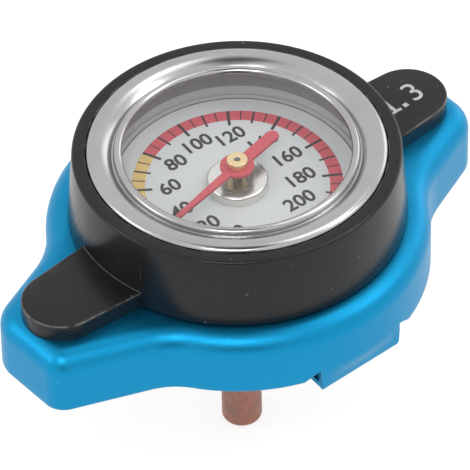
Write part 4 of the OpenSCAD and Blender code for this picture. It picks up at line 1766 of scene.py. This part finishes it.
@dataclass
class Stem(SubAssembly):
    """The probe, the bush that clamps the stack, and the coil inside the probe."""

    probe_wall: float = 0.5
    probe_end_bevel: float = 0.7
    neck_drop: float = 16.33
    neck_play: float = 0.05
    nut_flats: float = 12.0
    coil_r: float = 1.5
    coil_turns: float = 15.0
    strip_w: float = 0.7
    strip_t: float = 0.3
    strip_round: float = 0.06
    washer_round: float = 0.12
    nut_bore_r: float = 4.02
    nut_oversize: float = 1.02
    nut_turn_down: float = 0.45
    end_steps: int = 5
    cut_over: float = 0.5
    cut_reach: float = 20.0

    def build(self) -> None:
        """Builds the probe, the nut, the washer and the coil, and keeps the other four pieces."""
        self._probe()
        self._nut()
        hole = CapCover.hole_r
        self.ring("washer_ring", "clamp_washer", hole, self.washer_round, SPRING_STEEL, "spring_steel")
        coil = NodeBox.of("bimetal_coil")
        half_t, half_w = self.strip_t / 2, self.strip_w / 2
        corners = [(half_t, -half_w), (half_t, half_w), (-half_t, half_w), (-half_t, -half_w)]
        strip = soften(corners, self.strip_round)
        wound = winding(self.coil_r, coil.bottom + half_w, coil.top - half_w, self.coil_turns, strip)
        self.dress("coil_wound", wound, STRIP, "bimetal", nodes=["bimetal_coil"])
        self.keep("stem_bush", BRASS)
        self.keep("guide_bush", BRASS)
        self.keep("coil_anchor", BRASS)
        self.keep("stem_seal", RUBBER)

    def _probe(self) -> None:
        """Builds the copper probe with its rounded end."""
        probe = NodeBox.of("probe_tube")
        neck = probe.bottom + self.neck_drop
        inner = probe.radius - self.probe_wall
        middle = (probe.radius - self.probe_end_bevel, probe.bottom + self.probe_end_bevel)
        profile = [
            (0.0, probe.bottom),
            *arc(middle, self.probe_end_bevel, 270, 360, self.end_steps),
            (probe.radius, neck),
            (probe.radius - self.neck_play, neck + self.neck_play),
            (probe.radius - self.neck_play, probe.top),
            (inner, probe.top),
            (inner, probe.bottom + self.probe_wall),
            (0.0, probe.bottom + self.probe_wall),
        ]
        self.dress("probe_sheath", revolve(profile, Turn.SMALL), COPPER, "copper", nodes=["probe_tube"])

    def _nut(self) -> None:
        """Builds the clamp nut with its corners turned down."""
        nut = NodeBox.of("clamp_nut")
        corner = self.nut_flats / 2 / math.cos(math.pi / 6)
        turned_r = corner * self.nut_oversize
        cone = [
            (self.nut_bore_r, nut.bottom),
            (self.nut_flats / 2, nut.bottom),
            (turned_r, nut.bottom + self.nut_turn_down),
            (turned_r, nut.top),
            (self.nut_bore_r, nut.top),
        ]
        sides = [(corner * math.cos(math.pi / 3 * i), corner * math.sin(math.pi / 3 * i)) for i in range(6)]
        reach, over = self.cut_reach, self.cut_over
        heights = (nut.bottom - 2 * over, nut.top + 2 * over)
        prism = Draft().loft([[(x, y, z) for x, y in sides] for z in heights])
        around = block((-reach, -reach, nut.bottom - over), (reach, reach, nut.top + over))
        outside = combine(around, [prism], Cut.TAKE_AWAY)
        body = combine(revolve(cone, Turn.SMALL), [outside], Cut.TAKE_AWAY)
        self.dress("nut_hex", body, BRASS, "brass", nodes=["clamp_nut"])


@dataclass
class NeckFittings(SubAssembly):
    """The diaphragm, the gasket and the spring's cage below the cover."""

    cage_t: float = 0.7
    cage_bend_r: float = 1.0
    cage_round: float = 0.12
    lip_r: float = 9.1
    window_w: float = 8.0
    window_bottom: float = -6.25
    window_top: float = -1.5
    disc_round: float = 0.1
    gasket_play: float = 0.3
    gasket_round: float = 0.25
    crown_steps: int = 6
    hollow_steps: int = 4
    corner_steps: int = 2
    cut_reach: float = 20.0

    def build(self) -> None:
        """Builds the three pieces."""
        hole = CapCover.hole_r
        self.ring("diaphragm_disc", "diaphragm", hole, self.disc_round, SPRING_STEEL, "spring_steel")
        cage = NodeBox.of("spring_cage")
        bore = cage.radius + self.gasket_play
        self.ring("gasket_ring", "neck_gasket", bore, self.gasket_round, RUBBER, "black_rubber")
        self._cage(cage)

    def _cage(self, cage: NodeBox) -> None:
        """Builds the bell round the spring, with its turned-in lip and four windows.

        Args:
            cage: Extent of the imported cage.
        """
        inner = cage.radius - self.cage_t
        middle = (cage.radius - self.cage_bend_r, cage.top - self.cage_bend_r)
        crown = arc(middle, self.cage_bend_r, 90, 0, self.crown_steps)
        hollow = arc(middle, self.cage_bend_r - self.cage_t, 0, 90, self.hollow_steps)
        profile = [
            (CapCover.hole_r, cage.top),
            *crown,
            (cage.radius, cage.bottom),
            (self.lip_r, cage.bottom),
            (self.lip_r, cage.bottom + self.cage_t),
            (inner, cage.bottom + self.cage_t),
            *hollow,
            (CapCover.hole_r, cage.top - self.cage_t),
        ]
        half_w = self.window_w / 2
        low = (self.lip_r, -half_w, self.window_bottom)
        high = (self.cut_reach, half_w, self.window_top)
        windows = []
        for quarter in range(4):
            turn = Matrix.Rotation(math.pi / 4 + quarter * math.pi / 2, 4, "Z")
            windows.append(block(low, high).moved(turn))
        rounded = soften(profile, self.cage_round, self.corner_steps)
        bell = combine(revolve(rounded, Turn.CUT), windows, Cut.TAKE_AWAY)
        self.dress("cage_bell", bell, VALVE_BRASS, "valve_brass", nodes=["spring_cage"])


@dataclass(frozen=True)
class Spring:
    """A wound wire and the name of its joint."""

    node: str
    joint: str
    wire: float
    turns: float
    fixed_at_top: bool
    wire_sides: int = 12

    def draft(self) -> Draft:
        """The wound wire.

        Returns:
            The closed wire, as it is at rest.
        """
        box = NodeBox.of(self.node)
        last_side = 360 - 360 / self.wire_sides
        section = arc((0.0, 0.0), self.wire / 2, 0, last_side, self.wire_sides - 1)
        radius = box.high.x - self.wire / 2
        return winding(radius, box.bottom + self.wire / 2, box.top - self.wire / 2, self.turns, section)

    def squeeze(self, piece: bpy.types.Object) -> None:
        """Gives the piece its own copy of its mesh.

        Args:
            piece: The wound wire.
        """
        box = NodeBox.of(self.node)
        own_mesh(piece)


@dataclass
class PressureValve(SubAssembly):
    """The valve that lifts against the large spring."""

    spring: Spring = Spring("pressure_spring", "pressure_lift", wire=1.6, turns=3.0, fixed_at_top=True)
    sheet: float = 0.7
    flow_r: float = 5.6
    bead_w: float = 2.2
    groove_r: float = 7.9
    groove_h: float = 0.3
    cup_r: float = 8.8
    sleeve_hole_r: float = 4.0
    vent_r: float = 0.5
    vent_count: int = 6
    drill_below: float = 1.0
    drill_above: float = 2.0
    plate_round: float = 0.12
    seal_round: float = 0.18
    cup_round: float = 0.12
    corner_steps: int = 2

    def build(self) -> None:
        """Builds the carrier, the plate, the seal and the spring."""
        self._carrier()
        sizes = (self.flow_r, self.plate_round)
        self.ring("plate_disc", "pressure_plate", *sizes, VALVE_BRASS, "valve_brass", Body.PRESSURE)
        seal = NodeBox.of("pressure_seal")
        profile = [
            (self.flow_r, seal.bottom),
            (self.groove_r, seal.bottom),
            (self.groove_r, seal.bottom + self.groove_h),
            (seal.radius - self.bead_w, seal.bottom + self.groove_h),
            (seal.radius - self.bead_w, seal.bottom),
            (seal.radius, seal.bottom),
            (seal.radius, seal.top),
            (self.flow_r, seal.top),
        ]
        washer = revolve(soften(profile, self.seal_round))
        self.dress("seal_washer", washer, RUBBER, "black_rubber", Body.PRESSURE, ["pressure_seal"])
        wound = self.spring.draft()
        wire = self.dress("spring_wire", wound, SPRING_STEEL, "spring_steel", nodes=["pressure_spring"])
        self.spring.squeeze(wire)

    def _carrier(self) -> None:
        """Builds the cup with its brim and its vents."""
        box = NodeBox.of("valve_carrier")
        profile = [
            (self.sleeve_hole_r, box.bottom),
            (self.cup_r, box.bottom),
            (self.cup_r, box.top - self.sheet),
            (box.radius, box.top - self.sheet),
            (box.radius, box.top),
            (self.cup_r - self.sheet, box.top),
            (self.cup_r - self.sheet, box.bottom + self.sheet),
            (self.sleeve_hole_r, box.bottom + self.sheet),
        ]
        drill = ring_profile(self.vent_r, 0.0, box.bottom - self.drill_below, box.bottom + self.drill_above)
        vent_ring = (self.sleeve_hole_r + self.flow_r) / 2
        vents = []
        for i in range(self.vent_count):
            a = 2 * math.pi / self.vent_count * i
            place = Matrix.Translation((vent_ring * math.cos(a), vent_ring * math.sin(a), 0))
            vents.append(revolve(drill, Turn.DRILL).moved(place))
        rounded = soften(profile, self.cup_round, self.corner_steps)
        cup = combine(revolve(rounded, Turn.CUT), vents, Cut.TAKE_AWAY)
        self.dress("carrier_cup", cup, VALVE_BRASS, "valve_brass", Body.PRESSURE, ["valve_carrier"])


@dataclass
class VacuumValve(SubAssembly):
    """The valve that drops round the probe against the small spring."""

    spring: Spring = Spring("vacuum_spring", "vacuum_drop", wire=0.5, turns=3.0, fixed_at_top=False)
    disc_t: float = 0.65
    sleeve_r: float = 3.9
    bore_r: float = 2.65
    valve_round: float = 0.14
    clip_play: float = 0.02
    clip_round: float = 0.1

    def build(self) -> None:
        """Builds the valve, its clip and its spring, and keeps the probe's seal."""
        box = NodeBox.of("vacuum_valve")
        profile = [
            (self.bore_r, box.bottom),
            (box.radius, box.bottom),
            (box.radius, box.bottom + self.disc_t),
            (self.sleeve_r, box.bottom + self.disc_t),
            (self.sleeve_r, box.top),
            (self.bore_r, box.top),
        ]
        body = revolve(soften(profile, self.valve_round))
        self.dress("vacuum_disc", body, VALVE_BRASS, "valve_brass", Body.VACUUM, ["vacuum_valve"])
        sizes = (self.sleeve_r + self.clip_play, self.clip_round)
        self.ring("clip_ring", "vacuum_clip", *sizes, SPRING_STEEL, "spring_steel", Body.VACUUM)
        self.keep("probe_seal", RUBBER)
        wound = self.spring.draft()
        nodes = ["vacuum_spring"]
        wire = self.dress("vacuum_wire", wound, SPRING_STEEL, "spring_steel", Body.PRESSURE, nodes)
        self.spring.squeeze(wire)


def direction(azimuth: float, elevation: float) -> Vector:
    """Direction from the part to a place in the studio.

    Args:
        azimuth: Angle to the right of the front, in degrees.
        elevation: Angle above the horizon, in degrees.

    Returns:
        A vector of length 1.
    """
    a, e = math.radians(azimuth), math.radians(elevation)
    return Vector((math.sin(a) * math.cos(e), -math.cos(a) * math.cos(e), math.sin(e)))


def square(name: str, size: float, z: float = 0.0) -> bpy.types.Object:
    """A flat square that lies level.

    Args:
        name: Name of the object and of its mesh.
        size: Length of its sides, in metres.
        z: Its height, in metres.

    Returns:
        The new object, which is not in the scene yet.
    """
    half = size / 2
    corners = [(-half, -half, z), (half, -half, z), (half, half, z), (-half, half, z)]
    mesh = bpy.data.meshes.new(name)
    mesh.from_pydata(corners, [], [(0, 1, 2, 3)])
    return bpy.data.objects.new(name, mesh)


@dataclass(frozen=True)
class Fixture:
    """Something square that hangs in the studio and faces the middle of the part.

    Angles are in degrees and lengths in metres.
    """

    name: str
    azimuth: float
    elevation: float
    distance: float
    size: float

    def place(self, holder: bpy.types.Object) -> None:
        """Hangs an object in its place and adds it to the scene.

        Args:
            holder: The lamp or card.
        """
        back = direction(self.azimuth, self.elevation)
        holder.location = back * self.distance
        holder.rotation_euler = back.to_track_quat("Z", "Y").to_euler()
        bpy.context.scene.collection.objects.link(holder)


@dataclass(frozen=True)
class Softbox(Fixture):
    """A square lamp."""

    power: float

    def build(self) -> None:
        """Hangs the lamp."""
        lamp = bpy.data.lights.new(self.name, "AREA")
        lamp.size = self.size
        lamp.energy = self.power
        self.place(bpy.data.objects.new(self.name, lamp))


@dataclass(frozen=True)
class Flag(Fixture):
    """A dark card that the camera does not see, for bright metal to mirror."""

    shade: float = 0.01

    def build(self) -> None:
        """Hangs the card."""
        card = square(self.name, self.size)
        material, _, shader = new_material(self.name)
        shader["Base Color"].default_value = grey(self.shade)
        shader["Roughness"].default_value = 1.0
        card.data.materials.append(material)
        card.visible_camera = False
        card.visible_shadow = False
        self.place(card)
        card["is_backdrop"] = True


@dataclass
class Studio:
    """The pale floor, the soft lamps, the world and the camera.

    Angles are in degrees. Where the camera stands and aims is in millimetres. Where its view starts and the
    floor's size are in metres.
    """

    azimuth: float = -39.665
    elevation: float = 43.23
    roll: float = -1.161
    distance: float = 718.0
    focal_px: float = 5785.6
    image_px: float = 470.0
    aim_right: float = -0.233
    aim_up: float = -10.541
    sensor: float = 36.0
    view_start: float = 0.01
    floor_size: float = 6.0
    floor_grey: float = 0.8
    floor_rough: float = 0.9
    floor_seen: float = 0.34
    floor_glow: float = 0.76
    sky: tuple[tuple[float, Colour], ...] = (
        (0.0, (0.55, 0.55, 0.555)),
        (0.3, (0.7, 0.7, 0.705)),
        (0.65, (0.98, 0.985, 0.99)),
        (1.0, (0.95, 0.95, 0.955)),
    )
    fixtures: tuple[Fixture, ...] = (
        Softbox("front_softbox", azimuth=-48.0, elevation=53.0, distance=0.8, size=0.3, power=1.5),
        Softbox("left_softbox", azimuth=-122.0, elevation=30.0, distance=0.8, size=0.36, power=0.85),
        Softbox("right_top_softbox", azimuth=85.0, elevation=66.0, distance=0.8, size=0.3, power=0.6),
        Softbox("right_softbox", azimuth=96.0, elevation=16.0, distance=0.8, size=0.4, power=0.5),
        Softbox("right_front_softbox", azimuth=51.0, elevation=46.0, distance=0.8, size=0.26, power=0.75),
        Flag("low_flag", azimuth=-40.0, elevation=15.0, distance=0.9, size=0.45),
        Flag("high_flag", azimuth=-40.0, elevation=71.0, distance=0.5, size=0.16),
        Flag("top_flag", azimuth=0.0, elevation=89.0, distance=0.5, size=0.2),
    )

    def build(self) -> None:
        """Sets the studio up."""
        low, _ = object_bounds()
        for fixture in self.fixtures:
            fixture.build()
        self._world()
        self._floor(low[2])
        self._camera(NodeBox.of("gauge_housing").top)
        bpy.context.scene.view_settings.view_transform = "Standard"

    def _seen(self, graph: Graph) -> bpy.types.NodeSocket:
        """Tells what is seen from what only gives light.

        Args:
            graph: The tree to work in.

        Returns:
            1 for what the camera sees straight, in a mirror or through glass, and 0 for other light.
        """
        path = graph.node("ShaderNodeLightPath").outputs
        seen = graph.math("MAXIMUM", path["Is Camera Ray"], path["Is Glossy Ray"])
        return graph.math("MAXIMUM", seen, path["Is Transmission Ray"])

    def _world(self) -> None:
        """A soft grey sky for the light, and white where the camera, metal and glass see it."""
        world = bpy.data.worlds.new("studio")
        world.use_nodes = True
        bpy.context.scene.world = world
        graph = Graph(world.node_tree)
        light = world.node_tree.nodes["Background"]
        way = graph.split(graph.node("ShaderNodeTexCoord").outputs["Generated"])
        ramp = graph.node("ShaderNodeValToRGB")
        stops = ramp.color_ramp.elements
        while len(stops) < len(self.sky):
            stops.new(1.0)
        for stop, (height, colour) in zip(stops, self.sky):
            stop.position = height
            stop.color = (*colour, 1.0)
        graph.feed(ramp.inputs[0], way["Z"])
        graph.feed(light.inputs["Color"], ramp.outputs["Color"])
        white = graph.node("ShaderNodeBackground")
        white.inputs["Color"].default_value = grey(1.0)
        white.inputs["Strength"].default_value = 1.0
        chosen = graph.blend(self._seen(graph), light.outputs[0], white.outputs[0])
        graph.feed(world.node_tree.nodes["World Output"].inputs["Surface"], chosen)

    def _floor(self, z: float) -> None:
        """A pale floor that shows white, keeps a faint shadow and can be looked through from below.

        Args:
            z: Its height, in metres.
        """
        floor = square("studio_floor", self.floor_size, z)
        bpy.context.scene.collection.objects.link(floor)
        material, graph, shader = new_material("floor_white")
        shader["Base Color"].default_value = grey(self.floor_grey)
        shader["Roughness"].default_value = self.floor_rough
        shader["Specular IOR Level"].default_value = 0.0
        lit = material.node_tree.nodes["Principled BSDF"].outputs[0]
        pale = graph.node("ShaderNodeBsdfDiffuse")
        pale.inputs["Color"].default_value = grey(self.floor_seen)
        glow = graph.node("ShaderNodeEmission")
        glow.inputs["Strength"].default_value = self.floor_glow
        both = graph.node("ShaderNodeAddShader")
        graph.feed(both.inputs[0], pale.outputs[0])
        graph.feed(both.inputs[1], glow.outputs[0])
        chosen = graph.blend(self._seen(graph), lit, both.outputs[0])
        from_below = graph.node("ShaderNodeNewGeometry").outputs["Backfacing"]
        sided = graph.blend(from_below, chosen, graph.node("ShaderNodeBsdfTransparent").outputs[0])
        graph.feed(material.node_tree.nodes["Material Output"].inputs["Surface"], sided)
        floor.data.materials.append(material)
        floor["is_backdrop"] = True

    def _camera(self, datum: float) -> None:
        """Puts the camera where the photograph was taken from.

        Args:
            datum: Height of the housing's rim, from which the aim is measured, in millimetres.
        """
        a, r = math.radians(self.azimuth), math.radians(self.roll)
        back = direction(self.azimuth, self.elevation)
        level = Vector((math.cos(a), math.sin(a), 0.0))
        rise = back.cross(level)
        right = level * math.cos(r) + rise * math.sin(r)
        up = rise * math.cos(r) - level * math.sin(r)
        eye = Vector((0, 0, datum)) + right * self.aim_right + up * self.aim_up + back * self.distance
        lens = bpy.data.cameras.new("photo_camera")
        lens.sensor_width = self.sensor
        lens.lens = self.focal_px / self.image_px * self.sensor
        lens.clip_start = self.view_start
        camera = bpy.data.objects.new("photo_camera", lens)
        turn = Matrix((right, up, back)).transposed()
        camera.matrix_world = Matrix.Translation(eye * MM) @ turn.to_4x4()
        bpy.context.scene.collection.objects.link(camera)
        bpy.context.scene.camera = camera


def main() -> None:
    """Builds every sub-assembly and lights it."""
    logging.basicConfig(level=logging.INFO, format="%(name)s: %(message)s")
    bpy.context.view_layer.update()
    parts = [
        CapCover(),
        GaugeHousing(),
        GaugeWindow(),
        Dial(),
        Needle(),
        Stem(),
        NeckFittings(),
        PressureValve(),
        VacuumValve(),
        Studio(),
    ]
    for part in parts:
        LOG.info("building %s", type(part).__name__)
        part.build()


if __name__ == "__main__":
    main()
